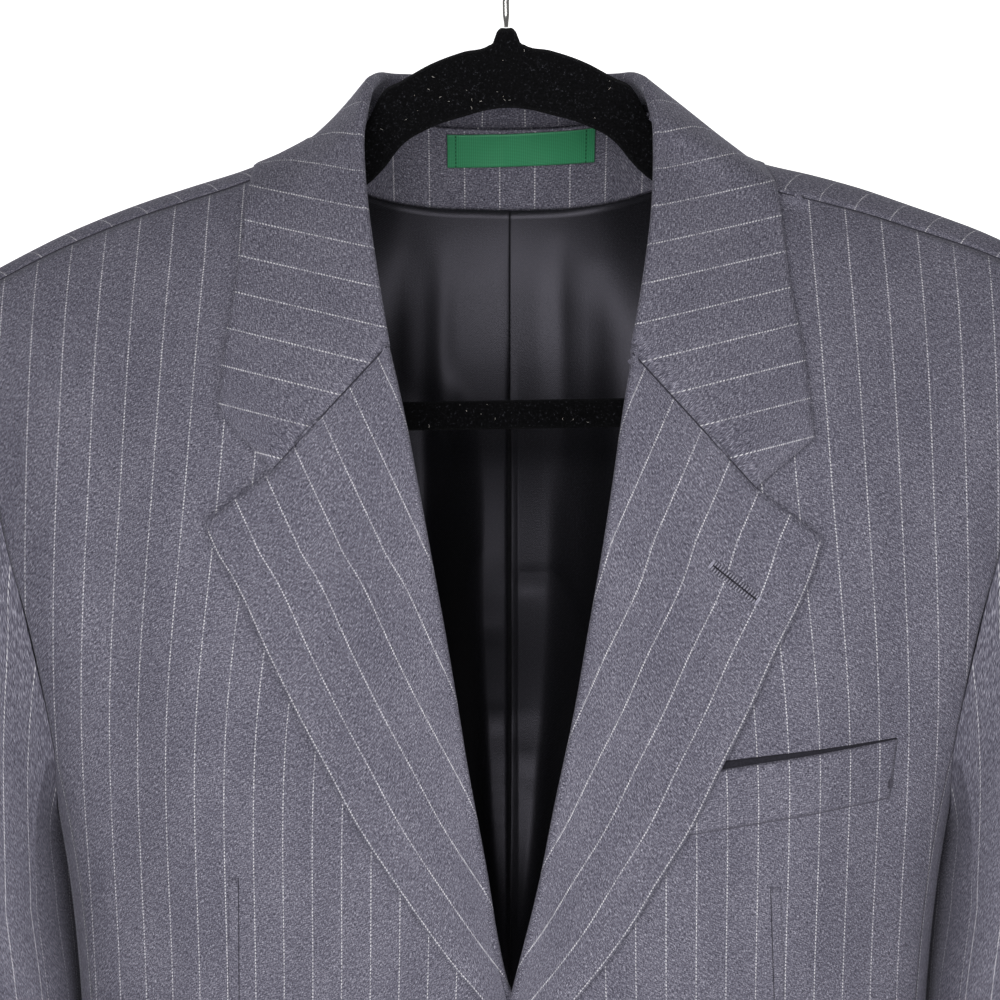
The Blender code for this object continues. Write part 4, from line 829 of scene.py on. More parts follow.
def lapel(side):
    """Rows down the lapel, columns from its return round the roll to the outer edge."""
    start = np.array(GORGE[side])
    notch = np.array(NOTCH[side])
    tip = np.array(LAPEL_TIP[side])
    down = np.linspace(0.0, 1.0, LAPEL_ROWS + 1)
    roll_height = start[1] + (BREAK_HEIGHT - start[1]) * down
    roll = pair(sided(OPENING, "height", roll_height, side), roll_height)
    roll[0] = start
    edge_height = tip[1] + (LAPEL_EDGE["height"][-1] - tip[1]) * down
    outer = pair(sided(LAPEL_EDGE, "height", edge_height, side), edge_height)
    outer[0] = tip
    gorge_length = np.linalg.norm(notch - start)
    gorge_share = gorge_length / (gorge_length + np.linalg.norm(tip - notch))
    gorge_steps = round(LAPEL_COLUMNS * gorge_share)
    steps = np.linspace(0.0, 1.0, gorge_steps + 1)[:, None]
    seam = start + (notch - start) * steps
    steps = np.linspace(0.0, 1.0, LAPEL_COLUMNS - gorge_steps + 1)[1:, None]
    top = np.concatenate([seam, notch + (tip - notch) * steps])
    bottom = roll[-1] + (outer[-1] - roll[-1]) * np.linspace(0.0, 1.0, LAPEL_COLUMNS + 1)[:, None]
    plan = patch(top, bottom, roll, outer, down)
    across = side * plan[..., 0]
    height = plan[..., 1]
    share = np.linspace(0.0, 1.0, LAPEL_COLUMNS + 1)[None]
    lift = COLLAR_LIFT + (EDGE_LIFT[side] - COLLAR_LIFT) * share
    flat = np.stack([across, front_surface(across, height, side) - lift, height], axis=-1)
    rows = []
    for row in flat:
        fall = unit((row[1] - row[0]) * np.array([1.0, 1.0, 0.0]))
        up = np.array([-fall[1], fall[0], 0.0])
        if up[1] > 0.0:
            up = -up
        hook = rolled(row[0] + fall * FOLD_RADIUS - up * FOLD_RADIUS, fall, up)
        rows.append(hook + list(beyond_roll(row)))
    grid = np.array(rows)
    under = (1.0 - np.linspace(0.0, 1.0, grid.shape[1]) * 1.6).clip(0.0)[:, None] ** 2
    step = unit(grid[0, FOLD_STEPS] - grid[1, FOLD_STEPS])
    tucked = grid[0] + step * LAPEL_TUCK * under + np.array([side * 0.0022, 0.0030, 0.0]) * under
    return np.concatenate([tucked[None], grid])


# ---- What lies on the panels ----
# Breast welt, on the wearer's left front.
WELT_CORNERS = table("across height", """
    78 -406.5
    175.4 -392.4
    172.2 -418.5
    74 -433.5
""")
# Hip pocket flap.
FLAP_CORNERS = table("across height", """
    56 -672
    176 -679
    178 -732
    58 -727
""")


def on_front(corners, side, columns, rows, lift):
    """A four-cornered piece laid on a front."""
    points = pair(corners["across"], corners["height"])
    share = np.linspace(0.0, 1.0, columns + 1)[None, :, None]
    down = np.linspace(0.0, 1.0, rows + 1)[:, None, None]
    top = points[0] * (1.0 - share) + points[1] * share
    bottom = points[3] * (1.0 - share) + points[2] * share
    plan = top * (1.0 - down) + bottom * down
    return beside_front(plan, side, lift)


def on_back_inside(across, height, depth):
    """Points on the inside of the back, at a depth in from its outer face."""
    slack = 0.0046 * fade(np.abs(across), 0.046, 0.062)
    inward = (depth + slack) * slant(back_surface, across, height)
    return np.stack([across, back_surface(across, height) - inward, height + 0.0 * across], axis=-1)


FACING_BOTTOM = table("across height", """
    0 -144
    40 -142.5
    65 -138.5
    80 -134.5
""")
FACING_END_DROP = 0.0230    # of the facing's ends below the ridge
FACING_DEPTH = BACK_CLOTH + INSIDE_GAP + TRIM_CLOTH
LABEL = {"left": -0.0272, "right": 0.0437, "top": -0.1083, "bottom": -0.1228, "rise": 0.0020}


# ---- Back lining ----
# The centre pleat in section: each row is a place across and how far in from the back it lies.
PLEAT = table("across lift", """
    -50 1
    -38 1.6
    -28 2.2
    -20 2.8
    -12 3.3
    -6 3.5
    2 3.6
    3.1 2.5
    2 1.4
    -9 1.3
    -9.7 1.15
    -9 1
    6 1
    10 1
    15 1
    22 1
    32 1
""")
LINING_SIDES = np.linspace(0.036, 0.145, 30)    # columns beside the pleat
PLEAT_SHIFT = 0.018         # how much further the pleat's columns reach on the wearer's right
LINING_HALF_WIDTH = 0.166
LINING_REST = 0.0010        # how far the plain lining lies in from the back's inside
LINING_EDGE_TURN = 4.0      # degrees that the lining stops short of the armhole and side seam
LINING_SHOULDER_DROP = 0.030
LINING_HEM = -0.860
LINING_ROWS = (28, 120)     # over the rounded top of the back, and from there to the hem


def back_lining():
    """Rows and columns of the lining from side to side, with its pleat and its loose folds."""
    down = np.concatenate([np.linspace(0.0, 0.17, LINING_ROWS[0] + 1)[:-1],
                           np.linspace(0.17, 1.0, LINING_ROWS[1] + 1)])
    ordered = dict(PLEAT, order=np.arange(len(PLEAT["across"]), dtype=float))
    places = np.linspace(0.0, ordered["order"][-1], 6 * len(ordered["order"]))
    inner = smooth(ordered, "order", "across", places)
    right = -LINING_SIDES[::-1] - PLEAT_SHIFT
    edge = LINING_HALF_WIDTH
    near = np.concatenate([[-edge], right, inner, LINING_SIDES, [edge]])
    beside = np.full(len(LINING_SIDES) + 1, LINING_REST)
    rest = np.concatenate([beside, smooth(ordered, "order", "lift", places), beside])
    rows = []
    for share in down:
        across = near
        for _ in range(6):
            below_facing = smooth(FACING_BOTTOM, "across", "height", np.abs(across)) - 0.0008
            below_seam = ridge(across) - LINING_SHOULDER_DROP
            top = below_facing + (below_seam - below_facing) * fade(np.abs(across), 0.070, 0.092)
            first = run_at(across, top, BACK_SLOPE)
            last = run_at(across, LINING_HEM, BACK_SLOPE)
            height = ridge(across) - drop_of(first + (last - first) * share, BACK_SLOPE)[0]
            limit = across_at(smooth(ARMHOLE, "height", "back_turn", height) - LINING_EDGE_TURN, height)
            across = near * (1.0 + (limit / edge - 1.0) * fade(np.abs(near), 0.020, edge))
        lift = rest + lining_folds(across, height)
        slack = 0.0024 * fade(np.abs(across), 0.045, 0.070)
        inward = (BACK_CLOTH + INSIDE_GAP + slack + lift) * slant(back_surface, across, height)
        depth = back_surface(across, height) - inward
        rows.append(np.stack([across, depth, height], axis=-1))
    return np.array(rows)


# The lining's lit middle panel, standing off the back.
LINING_PANEL = table("height left right crease depth lift", """
    -900 4 6 5 0 0
    -640 3.5 6 4.8 0 2
    -560 3 6 4.5 0 20
    -500 0.5 6 3 0.6 46
    -460 -3 9.5 3.4 2 56
    -400 -6.2 15.5 3.6 3.2 54
    -334 -8.8 19.5 3.6 3.2 36
    -262 -9.2 20.8 3.6 3 20
    -242 -12 20.6 3.5 1.6 12
    -225 -20.5 20.5 3.4 0.6 8
    -160 -22.5 20.5 3.4 0 3
    -100 -22.5 20.5 3.4 0 0
""")
PANEL_FLANKS = (0.034, 0.044)    # how far it takes to fall back on the right and the left
# Soft hanging creases beside the pleat, and down the hidden sides.
LINING_CREASES = table("top bottom top_across bottom_across half_width rise", """
    -160 -330 -30 -34 6 1.6
    -155 -290 27 31 7 1.8
    -170 -400 45 40 9 3
    -165 -380 -48 -43 8 2.6
    -240 -820 -72 -80 26 26
    -240 -840 76 82 27 28
    -420 -760 24 34 12 6
    -450 -800 -30 -40 11 5.2
    -400 -740 116 126 17 5.6
    -380 -700 -120 -132 16 6
    -560 -850 85 96 15 5
    -540 -850 -86 -90 18 5.4
""")
# Where the loose folds have settled crosswise on themselves.
LINING_WRINKLES = table("height across half_width half_height rise", """
    -390 -4.5 10 1.6 1.2
    -395.5 11.5 11 1.5 -1.1
    -401 -3.5 9.5 1.4 -1.3
    -408.5 10.5 10 1.6 1.2
    -417 11 9 1.3 -1
    -422.5 -3 9 1.5 1.3
    -429 -3 8.5 1.4 -1.2
    -435 -2 8 1.3 1
    -325 12 11 3 1
    -348 -6 10 2.8 -1
""")


def lining_folds(across, height):
    """How far the lining's folds, creases and wrinkles stand forward."""
    panel = {name: smooth(LINING_PANEL, "height", name, height)
             for name in ("left", "right", "crease", "depth", "lift")}
    outside = np.maximum((panel["left"] - across) / PANEL_FLANKS[0],
                         (across - panel["right"]) / PANEL_FLANKS[1])
    lift = panel["lift"].clip(0.0) * fade(outside, 1.0, 0.0)
    lift = lift - panel["depth"] * np.exp(-((across - panel["crease"]) / 0.0013) ** 2)
    lift = lift + hung_folds(rows_of(LINING_CREASES), across, height, 0.8)
    for wrinkle in rows_of(LINING_WRINKLES):
        level = (height - wrinkle["height"]) / wrinkle["half_height"]
        beside = (across - wrinkle["across"]) / wrinkle["half_width"]
        lift = lift + wrinkle["rise"] * np.exp(-level ** 2 - beside ** 2)
    return lift


# ---- Hanger ----
HANGER_TILT = 1.0           # degrees that the wearer's left side hangs higher
HOOK_WIRE = 0.0033          # diameter of the hook's wire
HOOK_RADIUS = 0.0210        # of the wire's middle line
HANGER_DEPTH = 0.0060       # from front to back
NECK_DEPTH = 0.0090         # of the round neck that the hook goes into
# The arms from the middle out, with the neck on top.
ARMS = table("across top bottom", """
    0 -66.2 -103.4
    3.5 -66.7 -103.5
    5 -69 -103.6
    6 -72.2 -103.8
    8.5 -74.1 -104.1
    20 -76.8 -107
    37 -83 -112.5
    50 -90.3 -120.5
    58 -94.8 -130.5
    66.5 -110.5 -138.5
    80 -122.5 -144.5
    100 -128.8 -152
    118 -135 -157.5
    145 -142.7 -164
    165 -148.7 -169
    190 -158 -176.5
    206 -165 -180.5
    212 -168.5 -178.5
""")
BAR_HEIGHT = -0.2462
BAR_THICKNESS = 0.0134
BAR_DEPTH = 0.0060
BAR_HALF_WIDTH = 0.196
BAR_CORNER = 0.040
SECTION_POINTS = 10


def tilted(points):
    """Turns hanger points about the hook's bearing point."""
    angle = math.radians(HANGER_TILT)
    across = points[..., 0] * math.cos(angle) - points[..., 2] * math.sin(angle)
    height = points[..., 0] * math.sin(angle) + points[..., 2] * math.cos(angle)
    return np.stack([across, points[..., 1], height], axis=-1)


def section_ring(centre, direction, half_height, half_depth):
    """A rounded section: half_height along a direction in the picture plane, depth along Y."""
    angles = np.linspace(0.0, 2.0 * math.pi, SECTION_POINTS, endpoint=False) + math.pi / SECTION_POINTS
    up = np.sign(np.sin(angles)) * np.abs(np.sin(angles)) ** 0.75 * half_height
    back = np.sign(np.cos(angles)) * np.abs(np.cos(angles)) ** 0.6 * half_depth
    return centre + up[:, None] * direction + back[:, None] * np.array([0.0, 1.0, 0.0])


# ---- Grain: where the stripes run on each piece ----
STRIPE_PITCH = 0.0163       # from one stripe to the next
# How the fronts' stripes lean out over the chest, and crowd together.
STRIPE_DRIFT = table("height shift narrowing", """
    -176 0 0
    -277 4.5 0.06
    -392 13 0.16
    -506 10.5 0.21
    -880 10.5 0.21
""")
FRONT_STRIPES = {1: (0.1397, 0.0167), -1: (0.1194, 0.0159)}    # one stripe's place, and the pitch
STRIPES_FROM = 0.14         # across, where the crowding starts
BACK_STRIPE_LEAN = 0.24     # of the back's stripes over the shoulder
SLEEVE_STRIPES = 22.3       # stripes round a sleeve
LAPEL_EDGE_SLOPE = {1: 0.44, -1: 0.47}
LAPEL_EDGE_SINE = 0.89
COLLAR_STRIPE_SLOPE = 0.256     # of the collar's stripes on the chest
COLLAR_STRIPE_PITCH = 0.0173    # seen from the front, on the sloping cloth
COLLAR_STRIPE_HEIGHT = -0.1718  # a stripe's height where it would meet the middle
COLLAR_FALL_STRIPES = 2.85      # stripes between the fold and the edge of the collar, on a row
FACING_STRIPES = (-0.0019, 0.0171)


def lengths_down(grid):
    """Metres of cloth from the top of a piece, down each column."""
    steps = np.linalg.norm(np.diff(grid, axis=0), axis=-1)
    return np.concatenate([np.zeros_like(steps[:1]), np.cumsum(steps, axis=0)])


def lengths_across(grid):
    """Metres of cloth from the first column, along each row."""
    return lengths_down(grid.swapaxes(0, 1)).swapaxes(0, 1)


def front_grain(grid, side):
    """Stripes on a front and on what is cut to match it."""
    height = grid[..., 2]
    narrowing = smooth(STRIPE_DRIFT, "height", "narrowing", height)
    shift = smooth(STRIPE_DRIFT, "height", "shift", height)
    flat = (side * grid[..., 0] - shift - STRIPES_FROM * narrowing) / (1.0 - narrowing)
    place, pitch = FRONT_STRIPES[side]
    return pair((flat - place) / pitch, lengths_down(grid))


def back_grain(grid):
    """Stripes on a back, which lean outwards where it comes over the shoulder."""
    across = grid[..., 0]
    drop = np.maximum(ridge(across) - grid[..., 2], 0.0)
    run = np.where(grid[..., 1] < 0.0, -run_of(drop, FRONT_SLOPE), run_of(drop, BACK_SLOPE))
    flat = np.abs(across) - BACK_STRIPE_LEAN * np.clip(run, -0.06, 0.07)
    return pair(flat / STRIPE_PITCH + 0.25, lengths_down(grid))


def lapel_grain(grid, side):
    """Stripes side by side from the lapel's outer edge, which lies on one."""
    height = grid[..., 2]
    edge = sided(LAPEL_EDGE, "height", height, side)
    above = np.maximum(height - LAPEL_EDGE["height"][1], 0.0)
    corner = sided(LAPEL_EDGE, "height", LAPEL_EDGE["height"][1], side)
    edge = np.where(above > 0.0, corner + above * LAPEL_EDGE_SLOPE[side], edge)
    inward = (edge - side * grid[..., 0]) * LAPEL_EDGE_SINE
    stripes = (inward - 0.0012) / STRIPE_PITCH
    round_roll = lengths_across(grid)
    beyond = (round_roll[:, FOLD_STEPS, None] - round_roll[:, :FOLD_STEPS]) / STRIPE_PITCH
    stripes[:, :FOLD_STEPS] = stripes[:, FOLD_STEPS, None] + beyond
    return pair(stripes, lengths_down(grid))


def collar_grain(grid):
    """Stripes across the collar: square to the fold behind, sloping to the fold on the chest."""
    rows = len(grid)
    middle = rows // 2
    fold = grid[:, 2 + FOLD_STEPS // 2]
    run = lengths_down(fold)
    run = np.abs(run - run[middle])
    station = np.abs(np.linspace(-8.0, 8.0, rows))
    level = (COLLAR_STRIPE_HEIGHT - fold[:, 2] + COLLAR_STRIPE_SLOPE * np.abs(fold[:, 0])) \
        / COLLAR_STRIPE_PITCH
    across = np.zeros(rows)
    for half in (slice(0, middle + 1), slice(middle, rows)):
        behind = run[half] / STRIPE_PITCH + 0.36
        join = np.argmin(np.abs(station[half] - 4.0))
        whole = np.round(behind[join] - level[half][join])
        miss = level[half][join] + whole - behind[join]
        spread = fade(station[half], 0.5, 4.0)
        across[half] = np.where(station[half] < 4.0, behind + miss * spread, level[half] + whole)
    fall = lengths_across(grid)
    fall = np.maximum(fall - fall[:, 3 + FOLD_STEPS // 2][:, None], 0.0)
    share = fall / fall[:, -1][:, None]
    lean = COLLAR_FALL_STRIPES * fade(station, 0.4, 3.6)[:, None] * share
    behind = across[:, None] + lean
    chest = (COLLAR_STRIPE_HEIGHT - grid[..., 2] + COLLAR_STRIPE_SLOPE * np.abs(grid[..., 0])) \
        / COLLAR_STRIPE_PITCH + whole
    near = fade(station, 2.6, 4.6)[:, None] * fade(fall, -0.001, 0.004)
    return pair(behind * (1.0 - near) + chest * near, lengths_across(grid))


def wrapped_grain(grid, count):
    """Stripes down a tube's piece, by its share of the way round."""
    share = np.linspace(0.0, count, grid.shape[1])[None]
    return pair(share + 0.0 * grid[..., 0], lengths_down(grid))


def sleeve_grain(grid, count):
    """Stripes down a sleeve, and straight on up its cap until the armhole cuts them off."""
    grain = wrapped_grain(grid, count)
    ring = grid[SLEEVE_TOP_ROWS]
    along = np.gradient(ring, axis=0) * np.array([1.0, 1.0, 0.0])
    along /= np.linalg.norm(along, axis=-1, keepdims=True)
    aside = ((grid[:SLEEVE_TOP_ROWS] - ring) * along).sum(axis=-1)
    grain[:SLEEVE_TOP_ROWS, :, 0] = grain[SLEEVE_TOP_ROWS, :, 0] + aside / STRIPE_PITCH
    return grain


def even_grain(grid, start=0.0, pitch=STRIPE_PITCH):
    """Upright stripes, counted along X."""
    return pair((grid[..., 0] - start) / pitch, lengths_down(grid))


# ---- Meshes ----
def in_scene(name, mesh, finish):
    """Puts a smooth mesh of one finish into the scene as an object."""
    mesh.shade_smooth()
    mesh.materials.append(finish)
    made = bpy.data.objects.new(name, mesh)
    bpy.context.scene.collection.objects.link(made)
    return made


def cloth(name, grid, grain, finish, thickness, facing, butted=False):
    """A cloth piece: its outer face is a grid, and its thickness goes in behind that."""
    rows, columns = grid.shape[:2]
    mesh = bpy.data.meshes.new(name)
    first = (np.arange(rows - 1)[:, None] * columns + np.arange(columns - 1)[None]).ravel()
    faces = np.stack([first, first + columns, first + columns + 1, first + 1], axis=-1)
    corners = grid[:-1, :-1], grid[1:, :-1], grid[1:, 1:]
    normals = np.cross(corners[1] - corners[0], corners[2] - corners[0]).reshape(-1, 3)
    if normals.sum(axis=0) @ np.array(facing, float) < 0.0:
        faces = faces[:, ::-1]
    mesh.from_pydata(grid.reshape(-1, 3).tolist(), [], faces.tolist())
    layer = mesh.uv_layers.new(name="Grain")
    layer.data.foreach_set("uv", grain.reshape(-1, 2)[faces.ravel()].ravel())
    if butted:      # edges sewn flat to the next piece, so that they aren't shaded as rounded
        ends = np.empty(2 * len(mesh.edges), int)
        mesh.edges.foreach_get("vertices", ends)
        ends = ends.reshape(-1, 2)
        row, column = ends // columns, ends % columns
        sharp = (row[:, 0] == row[:, 1]) & ((row[:, 0] == 0) | (row[:, 0] == rows - 1))
        sharp |= (column[:, 0] == column[:, 1]) & ((column[:, 0] == 0) | (column[:, 0] == columns - 1))
        mesh.attributes.new("sharp_edge", "BOOLEAN", "EDGE").data.foreach_set("value", sharp)
    made = in_scene(name, mesh, finish)
    wall = made.modifiers.new("Wall", "SOLIDIFY")
    wall.thickness = thickness
    wall.offset = -1.0
    wall.use_quality_normals = True
    return made


def tubes(name, runs, radius, finish, sides=6):
    """Round threads, wires or hairs, each along a run of points, with closed ends."""
    points = []
    faces = []
    angles = np.linspace(0.0, 2.0 * math.pi, sides, endpoint=False)
    for run in runs:
        run = np.asarray(run, float)
        along = np.gradient(run, axis=0)
        along /= np.linalg.norm(along, axis=-1, keepdims=True).clip(1e-9)
        level = np.abs(along[:, 1:2]) < 0.9
        guide = np.where(level, np.array([[0.0, 1.0, 0.0]]), np.array([[1.0, 0.0, 0.0]]))
        first = np.cross(along, guide)
        first /= np.linalg.norm(first, axis=-1, keepdims=True)
        second = np.cross(along, first)
        start = len(points)
        size = np.full(len(run), radius)
        size[[0, -1]] *= 0.6
        for place, one, two, wide in zip(run, first, second, size):
            ring = place + wide * (np.cos(angles)[:, None] * one + np.sin(angles)[:, None] * two)
            points.extend(ring.tolist())
        for step in range(len(run) - 1):
            for place in range(sides):
                after = (place + 1) % sides
                near = start + step * sides
                faces.append((near + place, near + after, near + sides + after, near + sides + place))
        faces.append(tuple(start + place for place in range(sides)))
        last = start + (len(run) - 1) * sides
        faces.append(tuple(last + place for place in range(sides))[::-1])
    mesh = bpy.data.meshes.new(name)
    mesh.from_pydata(points, [], faces)
    return in_scene(name, mesh, finish)


def place_piece(piece, slot, *nodes):
    """Rides a piece on the one body and hides what it stands for."""
    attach(piece, "root")
    if nodes:
        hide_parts(*nodes)


# ---- Finishes ----
def linear(code):
    """A hex sRGB colour as linear numbers."""
    parts = [int(code[place:place + 2], 16) / 255.0 for place in (0, 2, 4)]
    return tuple(part / 12.92 if part <= 0.04045 else ((part + 0.055) / 1.055) ** 2.4 for part in parts)


def add(tree, kind, *values, stops=(), **settings):
    """Adds a node and gives its outputs.

    Values go to its inputs in order, and each setting to the input of that name or else to the
    node itself. An output of another node is linked. Stops are places and colours along a ramp.
    """
    node = tree.nodes.new("ShaderNode" + kind)
    sockets = {socket.identifier: socket for socket in node.inputs}
    given = list(zip(node.inputs, values))
    for name, setting in settings.items():
        if name in sockets:
            given.append((sockets[name], setting))
        else:
            setattr(node, name, setting)
    for socket, value in given:
        if isinstance(value, bpy.types.NodeSocket):
            tree.links.new(value, socket)
        else:
            socket.default_value = value
    for count, (place, colour) in enumerate(stops):
        if count >= len(node.color_ramp.elements):
            node.color_ramp.elements.new(place)
        node.color_ramp.elements[count].position = place
        node.color_ramp.elements[count].color = (*linear(colour), 1.0)
    return node.outputs


def finish_of(name, colour, roughness, **settings):
    """A material with its Principled shader, ready for patterns."""
    made = bpy.data.materials.new(name)
    made.use_nodes = True
    shader = made.node_tree.nodes["Principled BSDF"]
    shader.inputs["Base Color"].default_value = (*linear(colour), 1.0)
    shader.inputs["Roughness"].default_value = roughness
    for key, value in settings.items():
        shader.inputs[key.replace("_", " ")].default_value = value
    made.diffuse_color = (*linear(colour), 1.0)
    return made, made.node_tree, shader


def grain_parts(tree):
    """A piece's stripes across, and its metres along the cloth."""
    grain = add(tree, "UVMap", uv_map="Grain")[0]
    stripes, along, _ = add(tree, "SeparateXYZ", grain)
    return stripes, along


def finished(made, tone, relief):
    """Gives a material the colour and the relief of its patterns."""
    shader = made.node_tree.nodes["Principled BSDF"]
    made.node_tree.links.new(tone, shader.inputs["Base Color"])
    made.node_tree.links.new(relief, shader.inputs["Normal"])
    return made


MM = 0.001
FULL_TURN = 2.0 * math.pi


def pinstriped_worsted():
    """Worsted suiting, woven from mixed dark and pale grey wool, then pressed.

    The mix gives short light and dark flecks along and across the cloth, the press a soft dry
    sheen at grazing angles, and each stripe is a row of single pale stitches. The real threads
    are 0.35 mm apart: the flecks and the stitches are drawn about three times as coarse.
    """
    made, tree, shader = finish_of("pinstriped_worsted", "63616b", 0.88, Sheen_Weight=0.20,
                                   Sheen_Roughness=0.45, Specular_IOR_Level=0.22)
    shader.inputs["Sheen Tint"].default_value = (*linear("b9b8c6"), 1.0)
    stripes, along = grain_parts(tree)
    across = add(tree, "Math", stripes, STRIPE_PITCH, operation="MULTIPLY")[0]

    def flecks(width, length, detail):
        """Uneven flecks of a size across and along the cloth."""
        at_across = add(tree, "Math", across, width, operation="DIVIDE")[0]
        at_along = add(tree, "Math", along, length, operation="DIVIDE")[0]
        at = add(tree, "CombineXYZ", at_across, at_along)[0]
        return add(tree, "TexNoise", Vector=at, Scale=1.0, Detail=detail, Roughness=0.6)[0]

    warp = flecks(0.42 * MM, 1.3 * MM, 1.0)
    weft = flecks(1.3 * MM, 0.40 * MM, 1.0)
    slubs = flecks(5.0 * MM, 0.55 * MM, 1.0)
    clouds = flecks(38.0 * MM, 60.0 * MM, 2.0)
    warp_share = add(tree, "Math", warp, 0.38, operation="MULTIPLY")[0]
    weft_share = add(tree, "Math", weft, 0.44, operation="MULTIPLY")[0]
    mixed = add(tree, "Math", warp_share, weft_share, operation="ADD")[0]
    slub_share = add(tree, "Math", slubs, 0.18, operation="MULTIPLY")[0]
    mixed = add(tree, "Math", mixed, slub_share, operation="ADD")[0]
    wool = add(tree, "ValToRGB", mixed, stops=((0.34, "2b2932"), (0.46, "575562"), (0.54, "757380"),
                                               (0.66, "b6b4c0")))[0]
    shade = add(tree, "ValToRGB", clouds, stops=((0.30, "dcdce0"), (0.70, "ffffff")))[0]
    toned = add(tree, "Mix", 0.8, data_type="RGBA", blend_type="MULTIPLY", A_Color=wool,
                B_Color=shade)[2]

    shifted = add(tree, "Math", stripes, 0.5, operation="ADD")[0]
    part = add(tree, "Math", shifted, operation="FRACT")[0]
    centred = add(tree, "Math", part, 0.5, operation="SUBTRACT")[0]
    from_stripe = add(tree, "Math", centred, operation="ABSOLUTE")[0]
    distance = add(tree, "Math", from_stripe, STRIPE_PITCH / MM, operation="MULTIPLY")[0]
    line = add(tree, "MapRange", distance, 0.14, 0.38, 1.0, 0.0, interpolation_type="SMOOTHSTEP")[0]
    stitches = add(tree, "Math", along, 1.45 * MM, operation="DIVIDE")[0]
    stitch = add(tree, "Math", stitches, operation="FRACT")[0]
    dots = add(tree, "MapRange", stitch, 0.38, 0.50, 0.04, 1.0, interpolation_type="SMOOTHSTEP")[0]
    worn = add(tree, "MapRange", flecks(3.0 * MM, 5.0 * MM, 1.0), 0.38, 0.56, 0.45, 1.0)[0]
    mark = add(tree, "Math", line, dots, operation="MULTIPLY")[0]
    mark = add(tree, "Math", mark, worn, operation="MULTIPLY")[0]
    cover = add(tree, "Math", mark, 0.92, operation="MULTIPLY")[0]
    striped = add(tree, "Mix", cover, data_type="RGBA", A_Color=toned,
                  B_Color=(*linear("dcdadf"), 1.0))[2]

    mix_rise = add(tree, "Math", mixed, 0.8, operation="MULTIPLY")[0]
    mark_rise = add(tree, "Math", mark, 0.25, operation="MULTIPLY")[0]
    weave = add(tree, "Math", mix_rise, mark_rise, operation="ADD")[0]
    relief = add(tree, "Bump", Strength=0.35, Distance=0.35 * MM, Height=weave)[0]
    return finished(made, striped, relief)


def twill_lining():
    """Viscose twill lining, woven and calendered: dark, smooth, with a soft satin shine.

    Its twill lines are 0.5 mm apart and are drawn at 1.2 mm.
    """
    made, tree, shader = finish_of("twill_lining", "131316", 0.42, Specular_IOR_Level=0.46,
                                   Anisotropic=0.3, Sheen_Weight=0.03)
    shader.inputs["Specular Tint"].default_value = (*linear("f0ecff"), 1.0)
    stripes, along = grain_parts(tree)
    across = add(tree, "Math", stripes, STRIPE_PITCH, operation="MULTIPLY")[0]
    slant_place = add(tree, "Math", across, along, operation="ADD")[0]
    turns = add(tree, "Math", slant_place, FULL_TURN / (1.2 * MM), operation="MULTIPLY")[0]
    ribs = add(tree, "Math", turns, operation="SINE")[0]
    at_across = add(tree, "Math", stripes, STRIPE_PITCH / (0.9 * MM), operation="MULTIPLY")[0]
    at_along = add(tree, "Math", along, 0.8 * MM, operation="DIVIDE")[0]
    at = add(tree, "CombineXYZ", at_across, at_along)[0]
    threads = add(tree, "TexNoise", Vector=at, Scale=1.0, Detail=3.0)[0]
    rib_share = add(tree, "Math", ribs, 0.14, operation="MULTIPLY")[0]
    mixed = add(tree, "Math", rib_share, threads, operation="ADD")[0]
    tone = add(tree, "ValToRGB", mixed, stops=((0.30, "060608"), (0.50, "111114"), (0.75, "26262b")))[0]
    relief = add(tree, "Bump", Strength=0.45, Distance=0.2 * MM, Height=mixed)[0]
    return finished(made, tone, relief)


def plain_dark(name, colour, roughness, fleck):
    """Thread, felt, and the dark lines and patches of painted shade at seams, slit, button holes and
    pocket mouth: dull dyed fibre with an uneven twist, of a fleck size in metres.
    """
    made, tree, _ = finish_of(name, colour, roughness, Specular_IOR_Level=0.2)
    place = add(tree, "NewGeometry")["Position"]
    twist = add(tree, "TexNoise", Vector=place, Scale=1.0 / fleck, Detail=2.0)[0]
    light = "".join(f"{min(int(int(colour[at:at + 2], 16) * 1.35), 255):02x}" for at in (0, 2, 4))
    tone = add(tree, "ValToRGB", twist, stops=((0.35, colour), (0.65, light)))[0]
    relief = add(tree, "Bump", Strength=0.4, Distance=fleck * 0.5, Height=twist)[0]
    return finished(made, tone, relief)


def woven_label_tape():
    """Polyester damask label, woven: flat green with fine crosswise ribs and a slight shine.

    The picks are 0.2 mm apart and the ribs are drawn at 0.8 mm.
    """
    made, tree, _ = finish_of("woven_label_tape", "2e6e4d", 0.55, Sheen_Weight=0.15)
    stripes, along = grain_parts(tree)
    turns = add(tree, "Math", along, FULL_TURN / (0.8 * MM), operation="MULTIPLY")[0]
    ribs = add(tree, "Math", turns, operation="SINE")[0]
    turns = add(tree, "Math", stripes, FULL_TURN * STRIPE_PITCH / (0.9 * MM), operation="MULTIPLY")[0]
    warp = add(tree, "Math", turns, operation="SINE")[0]
    crossed = add(tree, "Math", ribs, warp, operation="ADD")[0]
    mixed = add(tree, "Math", crossed, 0.2, 0.5, operation="MULTIPLY_ADD")[0]
    tone = add(tree, "ValToRGB", mixed, stops=((0.1, "1f7048"), (0.5, "2c8558"), (0.9, "3f9a6c")))[0]
    relief = add(tree, "Bump", Strength=0.4, Distance=0.15 * MM, Height=mixed)[0]
    return finished(made, tone, relief)


